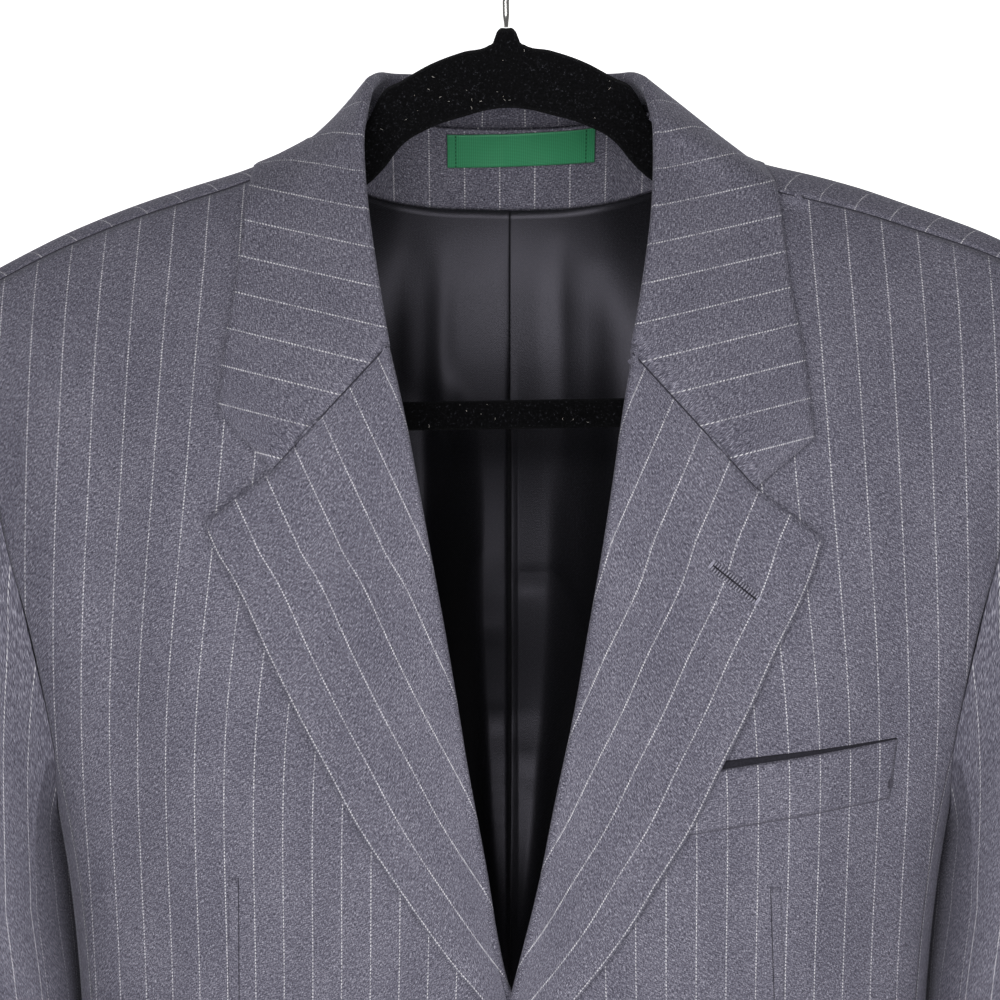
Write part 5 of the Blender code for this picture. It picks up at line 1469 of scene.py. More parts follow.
def flocked_velvet():
    """Nylon flock, blown onto glue on a moulded hanger: deep black, paler only at its rim.

    The fibres are 0.5 mm long and stand in soft tufts about 1 mm across.
    """
    made, tree, shader = finish_of("flocked_velvet", "0d0d0f", 1.0, Sheen_Weight=0.12,
                                   Sheen_Roughness=0.55, Specular_IOR_Level=0.1)
    shader.inputs["Sheen Tint"].default_value = (*linear("6a6a70"), 1.0)
    place = add(tree, "NewGeometry")["Position"]
    tufts = add(tree, "TexNoise", Vector=place, Scale=1.0 / (1.1 * MM), Detail=4.0, Roughness=0.7)[0]
    tone = add(tree, "ValToRGB", tufts, stops=((0.40, "040405"), (0.60, "0b0b0d"), (0.72, "3c3c42")))[0]
    relief = add(tree, "Bump", Strength=0.9, Distance=0.6 * MM, Height=tufts)[0]
    return finished(made, tone, relief)


def plated_wire():
    """Steel wire, drawn and nickel plated: a bright mirror with faint drawing lines along it."""
    made, tree, shader = finish_of("plated_wire", "c9c8c6", 0.16, Metallic=1.0)
    place = add(tree, "NewGeometry")["Position"]
    lines = add(tree, "TexNoise", Vector=place, Scale=1.0 / (0.5 * MM), Detail=2.0)[0]
    rough = add(tree, "MapRange", lines, 0.3, 0.7, 0.10, 0.24)[0]
    tree.links.new(rough, shader.inputs["Roughness"])
    return made


def cast_resin():
    """Polyester resin button, cast in layers and tumbled: dark, with cloudy paler veins."""
    made, tree, _ = finish_of("cast_resin", "2a282b", 0.30, Specular_IOR_Level=0.5)
    place = add(tree, "NewGeometry")["Position"]
    veins = add(tree, "TexNoise", Vector=place, Scale=1.0 / (5.0 * MM), Detail=4.0, Distortion=1.5)[0]
    tone = add(tree, "ValToRGB", veins, stops=((0.35, "1c1a1d"), (0.55, "2d2b2e"), (0.75, "4b474a")))[0]
    scuffs = add(tree, "TexNoise", Vector=place, Scale=1.0 / (0.8 * MM), Detail=2.0)[0]
    relief = add(tree, "Bump", Strength=0.05, Distance=0.1 * MM, Height=scuffs)[0]
    return finished(made, tone, relief)


# ---- Small work on the panels ----
def beside_front(line, side, lift):
    """Points laid on a front from rows of across and height, at a lift off it."""
    line = np.asarray(line, float)
    across = side * line[..., 0]
    height = line[..., 1]
    out = lift * slant(front_surface, across, height, side)
    return np.stack([across, front_surface(across, height, side) - out, height], axis=-1)


def line_between(start, end, count):
    """Even points from one place to another."""
    share = np.linspace(0.0, 1.0, count)[:, None]
    return np.asarray(start, float) * (1.0 - share) + np.asarray(end, float) * share


def rounded_edges(grid, drop):
    """Turns the outermost two millimetres of a piece back towards the cloth under it."""
    down = lengths_down(grid)
    right = lengths_across(grid)
    near = np.minimum(np.minimum(down, down[-1:] - down), np.minimum(right, right[:, -1:] - right))
    grid = grid.copy()
    grid[..., 1] += drop * (1.0 - fade(near, 0.0, 0.0020))
    return grid


BUTTONS = {"button_upper": -0.5740, "button_lower": -0.6840}
BUTTON_FACE = 0.0027        # of the button's sunk middle, above its back
BUTTON_PROFILE = (          # radius and height of each ring, from the middle of the face to the back
    (0.0001, BUTTON_FACE), (0.0076, BUTTON_FACE), (0.0083, 0.0030), (0.0088, 0.0036), (0.0094, 0.0036),
    (0.0098, 0.0031), (0.0100, 0.0021), (0.0096, 0.0008), (0.0086, 0.0001), (0.0001, 0.0),
)
BUTTON_HOLES = 0.0021       # from the button's middle
DARTS = {1: ((0.1173, -0.4560), (0.1192, -0.5052), (0.1160, -0.6660)),
         -1: ((0.1169, -0.4519), (0.1168, -0.5052), (0.1150, -0.6600))}
# The breast pocket's mouth above the welt, laid on as a dark patch of painted shade.
POCKET_MOUTH_SHADE = table("across height", """
    78 -402.2
    174.8 -391.9
    175.2 -392.9
    78.2 -407.5
""")
BUTTONHOLE = ((0.0905, -0.3140), (0.1108, -0.3300))
BUTTONHOLE_STITCHES = 20
BAR_TACK = ((0.1722, -0.4105), (0.1722, -0.4140))

# Creases of the sleeves: where round the sleeve, from where to where, how wide and how proud.
SLEEVE_CREASES = table("angle top bottom half_angle rise lean", """
    60 -235 -430 15 2.2 10
    95 -300 -560 14 -2.6 -8
    20 -330 -600 18 2 12
    150 -420 -620 16 -2.4 14
    290 -260 -470 17 2.2 -10
    320 -420 -700 20 -2 8
    215 -450 -690 15 2.4 -12
    75 -600 -780 16 -2.2 6
    255 -640 -800 15 2 10
    180 -560 -600 40 -1.6 0
    110 -545 -575 34 1.6 4
    200 -500 -535 30 -1.4 0
""")

INNER_SIDE = (205.0, 42.0)  # degrees round a sleeve where it faces the body, and how far either way
INNER_TOP = (-0.425, -0.455)            # heights over which it comes to lie against the body
INNER_END = (-0.700, -0.620)            # heights over which it leaves the body again
INNER_REACH = 0.014


def creased_sleeve(side):
    """The whole sleeve with its creases."""
    whole = sleeve(side)
    angles = np.interp(np.arange(whole.shape[1]), RING_ANGLES["point"], RING_ANGLES["angle"])
    across_rows = np.gradient(whole, axis=0)
    across_columns = np.gradient(whole, axis=1)
    normal = np.cross(across_rows, across_columns)
    normal /= np.linalg.norm(normal, axis=-1, keepdims=True).clip(1e-9)
    if normal[-10, 0, 0] * side < 0.0:
        normal = -normal
    height = whole[..., 2]
    rise = np.zeros(height.shape)
    for crease in rows_of(SLEEVE_CREASES):
        along = np.clip((height - crease["top"]) / (crease["bottom"] - crease["top"]), 0.0, 1.0)
        turn = crease["angle"] + crease["lean"] * along
        apart = (angles[None] - turn + 180.0) % 360.0 - 180.0
        shape = np.exp(-(apart / crease["half_angle"]) ** 2)
        rise += crease["rise"] * shape * np.sin(math.pi * along) ** 0.8
    return beside_body(whole + normal * rise[..., None], side)


def beside_body(whole, side):
    """Lays the back of the sleeve's inner side against the body below the underarm."""
    angles = np.interp(np.arange(whole.shape[1]), RING_ANGLES["point"], RING_ANGLES["angle"])
    wall = underarm_panel(side)
    widest = np.abs(wall[..., 0]).max(axis=1)
    height = whole[..., 2]
    reach = np.interp(-height, -wall[:, 0, 2], widest) + SHELL_CLOTH + LAYER_GAP
    middle, half_width = INNER_SIDE
    inward = np.exp(-((angles[None] - middle) / half_width) ** 4)
    inward = inward * fade(height, *INNER_TOP) * fade(height, *INNER_END)
    lacking = np.clip(whole[..., 0] * side - reach, 0.0, INNER_REACH) * inward
    moved = whole.copy()
    moved[..., 0] -= side * lacking
    return moved


# ---- Making the blazer ----
SIDE_STRIPES = 4.6          # stripes across an underarm panel
UPPER_SHARE = 0.64          # share of a sleeve's stripes on its upper piece
GORGE_TUCK = 0.0040         # cloth turned under at either side of a gorge seam
DART_FOLD = 0.0045          # width of the folded cloth beside a dart's seam
DART_LIFT = 0.00045         # how far the fold stands up along the seam
BUTTONHOLE_LIP = (0.00045, 0.00225)     # inner and outer ends of its stitches, from the slit
FACING_HALF_WIDTH = 0.072
LABEL_END = 0.0050          # width of the label's turned ends
LABEL_WAVE = (0.00025, 260.0)           # how far the tape waves, and how closely
# The welt seam, dart, shoulder, gorge, slit and hollows entries are dark lines of painted shade, and the
# rest are real thread.
THREAD_AND_SHADE_WIDTHS = {                 # half the width of each line of stitching
    "welt seam": 0.00034,
    "bar tack": 0.00025,
    "dart": 0.00022,
    "shoulder": 0.00030,
    "gorge": 0.00032,
    "slit": 0.00034,
    "hollows": 0.00030,
    "buttonhole": 0.00036,
    "label": 0.00022,
    "button": 0.00022,
}


def sew(piece, kind, slot, held, rests, *nodes):
    """Places a cloth piece."""
    place_piece(piece, slot, *nodes)


def make_panels(wool):
    """Fronts, backs, underarm panels and sleeves."""
    for side, name in ((1, "left"), (-1, "right")):
        grid = trimmed(front_panel(side), first=0.0)
        grain = front_grain(grid, side)
        piece = cloth("worsted_front_" + name, grid, grain, wool, SHELL_CLOTH, (0, -1, 0))
        sew(piece, "front", "worsted", "hung", ["hanger_arms"], "front_" + name)
        grid = trimmed(back_panel(side))
        piece = cloth("worsted_back_" + name, grid, back_grain(grid), wool, BACK_CLOTH, (0, 1, 0))
        sew(piece, "back", "worsted", "hung", ["hanger_arms"], "back_" + name)
        grid = trimmed(underarm_panel(side), first=SEAM_GAP)
        grain = wrapped_grain(grid, SIDE_STRIPES)
        piece = cloth("worsted_side_" + name, grid, grain, wool, BACK_CLOTH, (side, 0, 0), butted=True)
        sew(piece, "side", "worsted", "hung", ["worsted_front_" + name], "side_" + name)
        whole = creased_sleeve(side)
        upper = np.concatenate([whole[:, BACK_SLEEVE_SEAM:-1], whole[:, :FRONT_SLEEVE_SEAM + 1]], axis=1)
        under = whole[:, FRONT_SLEEVE_SEAM:BACK_SLEEVE_SEAM + 1]
        grid = trimmed(upper, top=0.0, first=0.0, last=0.0)
        grain = sleeve_grain(grid, SLEEVE_STRIPES * UPPER_SHARE)
        piece = cloth("worsted_upper_sleeve_" + name, grid, grain, wool, SHELL_CLOTH, (side, 0, 0),
                      butted=True)
        sew(piece, "upper_sleeve", "worsted", "hung", ["worsted_front_" + name], "upper_sleeve_" + name)
        grid = trimmed(under, top=0.0, first=0.0, last=0.0)
        grain = sleeve_grain(grid, SLEEVE_STRIPES * (1.0 - UPPER_SHARE))
        piece = cloth("worsted_under_sleeve_" + name, grid, grain, wool, SHELL_CLOTH, (-side, 0, 0),
                      butted=True)
        sew(piece, "under_sleeve", "worsted", "hung", ["worsted_side_" + name], "under_sleeve_" + name)


def make_collar_and_lapels(wool):
    """The turned-out lapels and the collar round the neck."""
    for side, name in ((1, "left"), (-1, "right")):
        grid = trimmed(lapel(side), first=0.0, last=0.0)
        grain = lapel_grain(grid, side)
        piece = cloth("worsted_lapel_" + name, grid, grain, wool, SHELL_CLOTH, (0, -1, 0))
        sew(piece, "lapel", "worsted", "folded", ["worsted_front_" + name], "lapel_" + name)
        start, end = np.array(GORGE[side]), np.array(NOTCH[side])
        along = unit(end - start)
        square = np.array([-along[1], along[0]])
        strip = np.array([line_between(start + along * 0.0030 + square * aside,
                                       end - along * 0.0015 + square * aside, 50)
                          for aside in np.linspace(-GORGE_TUCK, GORGE_TUCK, 7)])
        grid = beside_front(strip, side, EDGE_LIFT[side] - SHELL_CLOTH - 0.0002)
        piece = cloth("gorge_allowance_" + name, grid, even_grain(grid), wool, 0.0004, (0, -1, 0))
        place_piece(piece, "worsted")
    grid = trimmed(collar_sections(), top=SEAM_GAP / 2, bottom=SEAM_GAP / 2, first=0.0, last=0.0)
    piece = cloth("worsted_collar", grid, collar_grain(grid), wool, SHELL_CLOTH, (0, -1, 0.3))
    sew(piece, "collar", "worsted", "folded", ["worsted_front_left", "worsted_front_right"], "collar")


def make_pockets(wool, thread, pocket_mouth_shade):
    """The breast welt with its mouth as a dark patch of painted shade, a dark line of painted shade
    along its lower seam, its tacked end, and the hip flaps.
    """
    grid = rounded_edges(on_front(WELT_CORNERS, 1, 60, 24, LAYER_GAP + TRIM_CLOTH), 0.0012)
    piece = cloth("worsted_breast_welt", grid, front_grain(grid, 1), wool, TRIM_CLOTH, (0, -1, 0))
    sew(piece, "welt", "worsted", "laid", ["worsted_front_left"], "breast_welt")
    corners = pair(WELT_CORNERS["across"], WELT_CORNERS["height"])
    # A dark line of painted shade along the welt's lower seam, drawn with the dark twist passed in as
    # thread.
    lower_edge = line_between(corners[3], corners[2], 40) - (0.0, 0.0002)
    seam = [beside_front(lower_edge, 1, 0.0001)]
    place_piece(tubes("welt_seam_shade", seam, THREAD_AND_SHADE_WIDTHS["welt seam"], thread), "worsted")
    # The pocket's mouth: a thin dark patch of painted shade laid on the front above the welt.
    grid = on_front(POCKET_MOUTH_SHADE, 1, 30, 4, 0.0004)
    piece = cloth("painted_shade_pocket_mouth", grid, even_grain(grid), pocket_mouth_shade, 0.0003, (0, -1, 0))
    place_piece(piece, "lining")
    for side, name in ((1, "left"), (-1, "right")):
        grid = on_front(FLAP_CORNERS, side, 60, 30, 2.0 * LAYER_GAP + SHELL_CLOTH)
        grid = rounded_edges(grid, 0.0010)
        grain = front_grain(grid, side)
        piece = cloth("worsted_flap_" + name, grid, grain, wool, SHELL_CLOTH, (0, -1, 0))
        sew(piece, "flap", "worsted", "hung", ["worsted_front_" + name], "flap_" + name)
    half_stitch = np.array([0.0010, 0.0002])
    tack = [beside_front(line_between(middle - half_stitch, middle + half_stitch, 5), 1, 0.0022)
            for middle in line_between(BAR_TACK[0], BAR_TACK[1], 9)]
    place_piece(tubes("welt_bar_tack", tack, THREAD_AND_SHADE_WIDTHS["bar tack"], thread), "worsted")


def make_darts(wool, thread):
    """A chest dart on each front: one edge of the cloth stands over the other along the seam, with a
    dark line of painted shade along it.
    """
    for side, name in ((1, "left"), (-1, "right")):
        top, middle, bottom = (np.array(point) for point in DARTS[side])
        seam = np.concatenate([line_between(top, middle, 12)[:-1], line_between(middle, bottom, 30)])
        open_share = np.sin(np.linspace(0.05, math.pi - 0.05, len(seam))) ** 0.5
        share = np.linspace(0.0, 1.0, 6)[:, None]
        across = side * (seam[None, :, 0] + DART_FOLD * share)
        height = seam[None, :, 1] + 0.0 * share
        lift = (DART_LIFT - 0.00042 * share) * open_share[None]
        grid = np.stack([across, front_surface(across, height, side) - lift - 0.00002, height], axis=-1)
        grain = front_grain(grid, side)
        grain[..., 1] = np.cumsum(np.full(len(seam), 0.005))[None] + 0.0 * share
        piece = cloth("dart_" + name, grid, grain, wool, 0.0002, (0, -1, 0))
        place_piece(piece, "worsted")
        # A dark line of painted shade along the dart's seam, drawn with the material passed in as
        # thread.
        line = beside_front(seam - (0.0002, 0.0), side, 0.00003)
        place_piece(tubes("dart_seam_shade_" + name, [line], THREAD_AND_SHADE_WIDTHS["dart"], thread), "worsted")


def make_seam_shade_lines(thread):
    """Dark lines of painted shade along the pressed shoulder seams, and along the gorge seams between
    collar and lapel.
    """
    for side, name in ((1, "left"), (-1, "right")):
        # Each line is a dark tube of painted shade, drawn with the material passed in as thread.
        line = front_panel(side)[0][::3].copy()
        line[:, 1] -= 0.0001
        line[:, 2] += 0.0001
        place_piece(tubes("shoulder_seam_shade_" + name, [line], THREAD_AND_SHADE_WIDTHS["shoulder"], thread), "worsted")
        start, end = np.array(GORGE[side]), np.array(NOTCH[side])
        share = np.linspace(0.02, 1.0, 60)
        lift = COLLAR_LIFT + (EDGE_LIFT[side] - COLLAR_LIFT) * share
        line = beside_front(start + (end - start) * share[:, None], side, lift)
        place_piece(tubes("gorge_seam_shade_" + name, [line], THREAD_AND_SHADE_WIDTHS["gorge"], thread), "worsted")


def make_buttonhole(thread, shade, hollow_shade):
    """The lapel's buttonhole: a slit drawn as a dark line of painted shade, with worked stitches along
    both lips, dark tubes of painted shade in the hollows between the stitches, and a bar at its end.
    """
    start, end = np.array(BUTTONHOLE[0]), np.array(BUTTONHOLE[1])
    lift = EDGE_LIFT[1] + 0.0007
    along = unit(end - start)
    square = np.array([-along[1], along[0]])
    # The slit is a dark tube of painted shade.
    slit = beside_front(line_between(start, end, 20), 1, lift)
    place_piece(tubes("buttonhole_slit_shade", [slit], THREAD_AND_SHADE_WIDTHS["slit"], shade), "worsted")
    stitches = []
    hollows = []
    for place, share in enumerate(np.linspace(0.0, 1.0, 2 * BUTTONHOLE_STITCHES - 1)):
        middle = start + (end - start) * share
        for lip in (-1.0, 1.0):
            near, far = (middle + square * lip * away for away in BUTTONHOLE_LIP)
            run = beside_front(line_between(near, far, 5), 1, lift)
            # Every other run lies in the hollows between the stitches, a darker tube of painted shade.
            run[:, 1] -= np.array([0.0001, 0.0004, 0.0005, 0.0004, 0.0001]) * (1.0 - place % 2)
            (hollows if place % 2 else stitches).append(run)
    place_piece(tubes("buttonhole_hollow_shade", hollows, THREAD_AND_SHADE_WIDTHS["hollows"], hollow_shade), "worsted")
    for place in (start, end):
        for shift in (-0.0004, 0.0, 0.0004):
            middle = place + along * shift
            bar = line_between(middle - square * 0.0022, middle + square * 0.0022, 7)
            run = beside_front(bar, 1, lift)
            run[:, 1] -= 0.0004
            stitches.append(run)
    piece = tubes("buttonhole_stitches", stitches, THREAD_AND_SHADE_WIDTHS["buttonhole"], thread)
    place_piece(piece, "worsted")


def label_height(across, down):
    """Height on the label at a share of the way down it; it rises towards one end."""
    tilt = (across - LABEL["left"]) / (LABEL["right"] - LABEL["left"]) * LABEL["rise"]
    return LABEL["top"] * (1.0 - down) + LABEL["bottom"] * down - LABEL["rise"] + tilt


def make_inside(wool, lining, tape, thread):
    """The neck facing, the bare label with its sewn ends, and the back lining."""
    across = np.linspace(-FACING_HALF_WIDTH, FACING_HALF_WIDTH, 97)[None]
    top = smooth(BACK_NECK, "across", "height", np.abs(across)) - 0.0006
    top = np.minimum(top, ridge(across) - FACING_END_DROP * fade(np.abs(across), 0.030, 0.070))
    bottom = smooth(FACING_BOTTOM, "across", "height", np.abs(across))
    down = np.linspace(0.0, 1.0, 25)[:, None]
    height = top * (1.0 - down) + bottom * down
    grid = on_back_inside(across + 0.0 * height, height, FACING_DEPTH)
    grain = even_grain(grid, *FACING_STRIPES)
    piece = cloth("worsted_neck_facing", grid, grain, wool, TRIM_CLOTH, (0, -1, 0))
    sew(piece, "facing", "worsted", "hung", ["worsted_back_left", "worsted_back_right"], "neck_facing")

    across = np.linspace(LABEL["left"], LABEL["right"], 73)[None]
    down = np.linspace(0.0, 1.0, 21)[:, None]
    height = label_height(across, down)
    ends = np.minimum(across - LABEL["left"], LABEL["right"] - across)
    folded = 0.0003 * (1.0 - fade(ends, LABEL_END - 0.0005, LABEL_END + 0.0005)) + 0.0 * height
    wave = LABEL_WAVE[0] * np.sin(across * LABEL_WAVE[1]) * np.sin(math.pi * down)
    depth = FACING_DEPTH + 2.0 * LAYER_GAP + LABEL_CLOTH
    grid = on_back_inside(across + 0.0 * height, height, depth + folded + wave)
    piece = cloth("bare_label", grid, even_grain(grid), tape, LABEL_CLOTH, (0, -1, 0))
    sew(piece, "label", "label", "laid", ["worsted_neck_facing"], "neck_label")
    runs = []
    for end in (LABEL["left"] + 0.0040, LABEL["right"] - 0.0040):
        for share in np.linspace(0.04, 0.96, 9):
            stitch = label_height(end, share) + np.array([0.0005, 0.0, -0.0005])
            runs.append(on_back_inside(np.full(3, end), stitch, depth + 0.0005))
    place_piece(tubes("label_stitches", runs, THREAD_AND_SHADE_WIDTHS["label"], thread), "label")

    grid = back_lining()
    piece = cloth("twill_back_lining", grid, even_grain(grid), lining, LINING_CLOTH, (0, -1, 0))
    sew(piece, "lining", "lining", "hung", ["worsted_back_left", "worsted_back_right"], "back_lining")


def make_buttons(resin, thread, shade):
    """Two cast buttons with four holes, each a dark disc of painted shade, sewn on crosswise."""
    turns = np.linspace(0.0, 2.0 * math.pi, 64, endpoint=False)
    holes = [(math.cos(turn) * BUTTON_HOLES, math.sin(turn) * BUTTON_HOLES)
             for turn in np.radians((45, 135, 225, 315))]
    for name, height in BUTTONS.items():
        seat = float(front_surface(0.0, height, 1)) - LAYER_GAP - 0.0004
        sections = [[(radius * math.cos(turn), seat - rise, height + radius * math.sin(turn))
                     for turn in turns] for radius, rise in BUTTON_PROFILE]
        place_piece(lofted("cast_" + name, sections, resin), "button", name)
        front = seat - BUTTON_FACE
        # The holes are dark plugs of painted shade at the button's face.
        hole_shades = [[(x, front - 0.00002, height + z), (x, front + 0.0004, height + z)] for x, z in holes]
        place_piece(tubes(name + "_hole_shade", hole_shades, 0.00085, shade, sides=16), "button")
        crossed = []
        for near, far in ((0, 2), (1, 3)):
            for shift in (-0.0002, 0.0002):
                ends = [np.array([holes[at][0] + shift, front - 0.0001, height + holes[at][1]])
                        for at in (near, far)]
                middle = (ends[0] + ends[1]) / 2.0 - np.array([0.0, 0.0005, 0.0])
                crossed.append([ends[0], middle, ends[1]])
        place_piece(tubes(name + "_thread", crossed, THREAD_AND_SHADE_WIDTHS["button"], thread), "button")


# ---- Making the hanger ----
ARM_END = 0.212
HOOK_STRAIGHT = -0.0540     # height up to which the hook's wire is straight
HOOK_BEND = (-62.0, 205.0)  # degrees round the hook's bend, from its stem to its tip
LINT = 34                   # pale fibres caught in the flock
LINT_SEED = 7


def lofted(name, sections, finish):
    """A closed smooth body through rings of points."""
    work = bmesh.new()
    rings = [[work.verts.new(tuple(point)) for point in section] for section in sections]
    for near, far in zip(rings, rings[1:]):
        for place in range(len(near)):
            after = (place + 1) % len(near)
            work.faces.new((near[place], near[after], far[after], far[place]))
    work.faces.new(rings[0][::-1])
    work.faces.new(rings[-1])
    bmesh.ops.recalc_face_normals(work, faces=work.faces)
    mesh = bpy.data.meshes.new(name)
    work.to_mesh(mesh)
    work.free()
    return in_scene(name, mesh, finish)


def arms_at(place):
    """Top and bottom of the hanger's arms, and their depth, which is less away from the neck."""
    high, low = (float(smooth(ARMS, "across", edge, abs(place))) for edge in ("top", "bottom"))
    near = float(fade(abs(place), 0.009, 0.003))
    return high, low, HANGER_DEPTH + (NECK_DEPTH - HANGER_DEPTH) * near


def make_arms(flock):
    """The arms from end to end, with the neck in their middle."""
    places = np.concatenate([np.linspace(0.0, 0.010, 12)[:-1], np.linspace(0.010, 0.060, 22)[:-1],
                             np.linspace(0.060, ARM_END, 40)])
    places = np.concatenate([-places[:0:-1], places])
    upright = np.array([0.0, 0.0, 1.0])
    sections = []
    for place in places:
        high, low, depth = arms_at(place)
        narrow = 1.0 - 0.45 * fade(abs(place), ARM_END - 0.006, ARM_END)
        centre = np.array([place, 0.0, (high + low) / 2.0])
        sections.append(tilted(section_ring(centre, upright, (high - low) / 2.0, depth / 2.0 * narrow)))
    place_piece(lofted("flocked_arms", sections, flock), "flock", "hanger_arms")


def make_bar(flock):
    """The bar below the arms, with its rounded corners and upright ends."""
    top = float(smooth(ARMS, "across", "bottom", BAR_HALF_WIDTH)) - 0.0012
    middle = np.array([BAR_HALF_WIDTH - BAR_CORNER, BAR_HEIGHT + BAR_CORNER])
    path = [(BAR_HALF_WIDTH, top)]
    for turn in np.radians(np.linspace(0.0, 90.0, 19)):
        path.append(tuple(middle + BAR_CORNER * np.array([math.cos(turn), -math.sin(turn)])))
    path += [(place, BAR_HEIGHT) for place in np.linspace(0.150, 0.004, 40)]
    half = np.array(path)
    line = np.concatenate([half, half[::-1] * np.array([-1.0, 1.0])])
    sections = []
    for place in range(len(line)):
        along = unit(line[min(place + 1, len(line) - 1)] - line[max(place - 1, 0)])
        direction = np.array([along[1], 0.0, -along[0]])
        if place in (0, len(line) - 1):
            direction = np.array([1.0, 0.0, 0.0])
        centre = np.array([line[place, 0], 0.0, line[place, 1]])
        sections.append(tilted(section_ring(centre, direction, BAR_THICKNESS / 2.0, BAR_DEPTH / 2.0)))
    place_piece(lofted("flocked_bar", sections, flock), "flock", "hanger_bar")


def make_hook(wire):
    """The bent wire, from inside the neck to its tip."""
    drop = HOOK_WIRE / 2.0 - HOOK_RADIUS
    points = [(0.0, ARMS["top"][0] + 0.0004), (0.0, HOOK_STRAIGHT - 0.0060), (0.0, HOOK_STRAIGHT)]
    start = math.radians(HOOK_BEND[0])
    entry = (HOOK_RADIUS * math.cos(start), drop + HOOK_RADIUS * math.sin(start))
    for share in np.linspace(0.0, 1.0, 12)[1:-1]:
        ease = share * share * (3.0 - 2.0 * share)
        points.append((entry[0] * ease, HOOK_STRAIGHT + (entry[1] - HOOK_STRAIGHT) * share))
    for turn in np.radians(np.linspace(*HOOK_BEND, 80)):
        points.append((HOOK_RADIUS * math.cos(turn), drop + HOOK_RADIUS * math.sin(turn)))
    spine = tilted(np.array([(across, 0.0, height) for across, height in points]))
    place_piece(tubes("plated_hook", [spine], HOOK_WIRE / 2.0, wire, sides=20), "wire", "hanger_hook")


def make_lint(fibre):
    """Short pale fibres lying on the front of the flock."""
    chance = random.Random(LINT_SEED)
    hairs = []
    for _ in range(LINT):
        if chance.random() < 0.55:
            place = chance.uniform(-0.062, 0.062)
            high, low, depth = arms_at(place)
            high, low = high - 0.002, low + 0.002
        else:
            place = chance.uniform(-0.058, 0.058)
            depth = arms_at(place)[2]
            high, low = BAR_HEIGHT + 0.005, BAR_HEIGHT - 0.005
        at = np.array([place, -depth / 2.0 * 0.93, chance.uniform(low, high)])
        length = chance.uniform(0.0002, 0.0008)
        turn = chance.uniform(0.0, math.pi)
        step = np.array([math.cos(turn), 0.0, math.sin(turn)]) * length
        bend = np.array([-step[2], 0.0, step[0]]) * chance.uniform(-0.5, 0.5)
        rise = np.array([0.0, -0.0004, 0.0])
        hairs.append(tilted(np.array([at - step, at + bend + rise, at + step])))
    place_piece(tubes("flock_lint", hairs, 0.00008, fibre, sides=4), "flock")


def make_hanger(flock, wire, fibre):
    """The flocked arms and bar, the plated hook, and the lint on the flock."""
    make_arms(flock)
    make_bar(flock)
    make_hook(wire)
    make_lint(fibre)


# ---- Studio ----
FRONT_PLANE = -0.085        # depth of the fronts, where a pixel is PIXEL wide
PIXEL = 0.00044
CAMERA_PLACE = (-0.00176, -1.535, -0.286)
SENSOR = 36.0


def stage_sheet(name, corners, colour, glow):
    """A plain backdrop or floor."""
    mesh = bpy.data.meshes.new(name)
    mesh.from_pydata(corners, [], [(0, 1, 2, 3)])
    made = bpy.data.objects.new(name, mesh)
    bpy.context.scene.collection.objects.link(made)
    finish, _, shader = finish_of(name, colour, 0.9)
    shader.inputs["Emission Color"].default_value = (*linear(colour), 1.0)
    shader.inputs["Emission Strength"].default_value = glow
    mesh.materials.append(finish)


def soft_light(name, place, aim, size, power):
    """A square soft box."""
    data = bpy.data.lights.new(name, "AREA")
    data.shape = "SQUARE"
    data.size = size
    data.energy = power
    made = bpy.data.objects.new(name, data)
    bpy.context.scene.collection.objects.link(made)
    made.location = aim
    target = made.location.copy()
    made.location = place
    made.rotation_euler = (target - made.location).to_track_quat("-Z", "Y").to_euler()


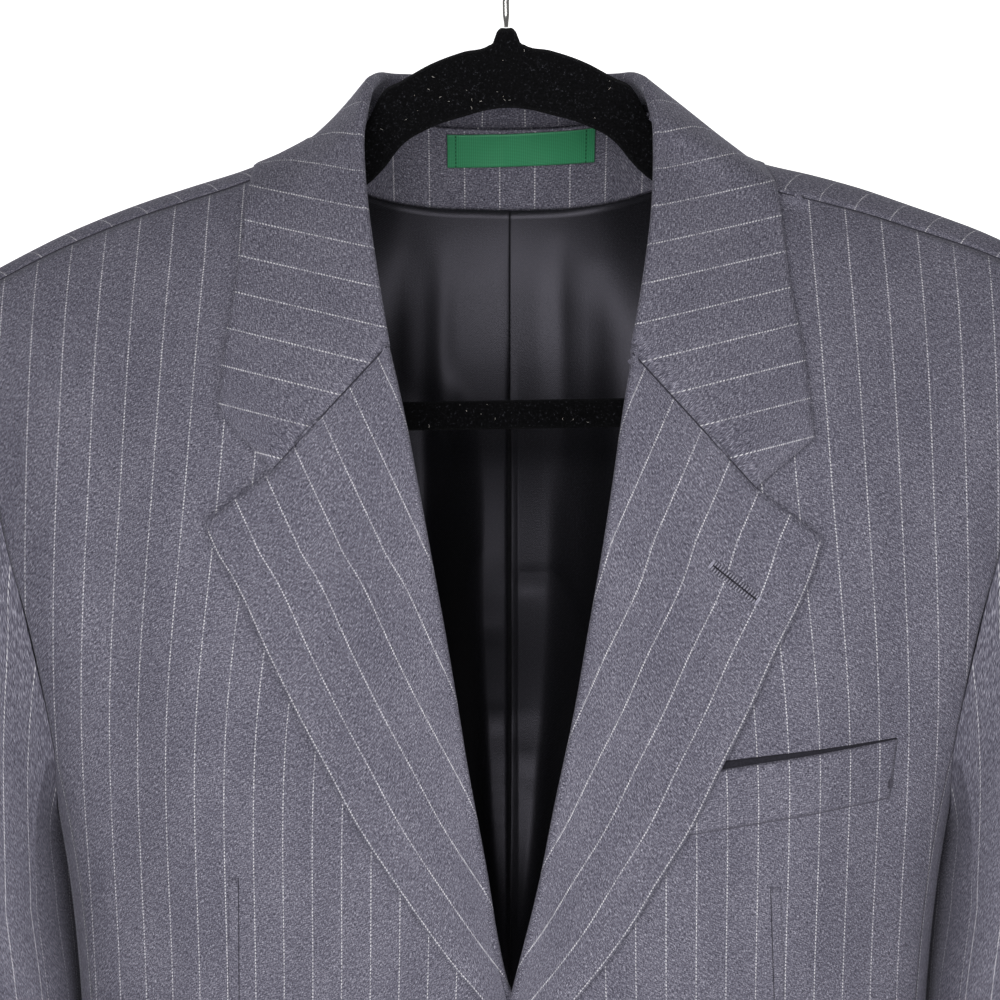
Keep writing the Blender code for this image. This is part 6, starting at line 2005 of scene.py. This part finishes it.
def make_studio():
    """The camera, the lights, the white backdrop and the pale floor."""
    data = bpy.data.cameras.new("camera")
    data.sensor_width = SENSOR
    distance = FRONT_PLANE - CAMERA_PLACE[1]
    data.lens = SENSOR * distance / (1000 * PIXEL)
    camera = bpy.data.objects.new("camera", data)
    camera.location = CAMERA_PLACE
    camera.rotation_euler = (math.radians(90.0), 0.0, 0.0)
    bpy.context.scene.collection.objects.link(camera)
    bpy.context.scene.camera = camera
    stage_sheet("backdrop", [(-12, 7, -1.3), (12, 7, -1.3), (12, 7, 9), (-12, 7, 9)], "ffffff", 1.0)
    stage_sheet("floor", [(-12, -8, -1.3), (12, -8, -1.3), (12, 7, -1.3), (-12, 7, -1.3)], "f2f2f2", 0.0)
    soft_light("key", (-0.5, -2.3, -0.2), (0.0, 0.0, -0.4), 1.3, 35.0)
    soft_light("fill", (1.1, -2.1, -0.8), (0.0, 0.0, -0.4), 1.4, 20.0)
    world = bpy.data.worlds.new("studio")
    world.use_nodes = True
    world.node_tree.nodes["Background"].inputs[0].default_value = (1.0, 1.0, 1.0, 1.0)
    world.node_tree.nodes["Background"].inputs[1].default_value = 0.18
    bpy.context.scene.world = world
    bpy.context.scene.view_settings.view_transform = "Standard"


def main():
    """Makes every finish, the blazer, its hanger and the studio."""
    wool = pinstriped_worsted()
    # Dark twist: real thread for the bar tack and the buttons, and painted shade along the welt's lower
    # seam and in the buttonhole's hollows.
    thread = plain_dark("dark_twist_and_painted_shade", "45434d", 0.7, 0.0006)
    # Painted shade for the buttonhole's slit and the buttons' holes.
    shade = plain_dark("painted_slit_and_hole_shade", "25242a", 0.95, 0.0008)
    # Painted shade for the breast pocket's mouth.
    pocket_mouth_shade = plain_dark("painted_pocket_mouth_shade", "1f1e24", 0.95, 0.0008)
    make_panels(wool)
    make_collar_and_lapels(wool)
    make_pockets(wool, thread, pocket_mouth_shade)
    # Painted shade for the dark lines along the darts, the shoulder seams and the gorge seams.
    seam_shade_lines = plain_dark("painted_seam_shade", "2b2a31", 0.8, 0.0006)
    make_darts(wool, seam_shade_lines)
    make_seam_shade_lines(seam_shade_lines)
    make_buttonhole(plain_dark("worked_twist", "7d7b87", 0.7, 0.0005), shade, thread)
    make_inside(wool, twill_lining(), woven_label_tape(),
                plain_dark("label_thread", "173f2b", 0.7, 0.0006))
    make_buttons(cast_resin(), thread, shade)
    make_hanger(flocked_velvet(), plated_wire(), plain_dark("lint_fibre", "a9a5a0", 0.9, 0.0008))
    make_studio()


main()
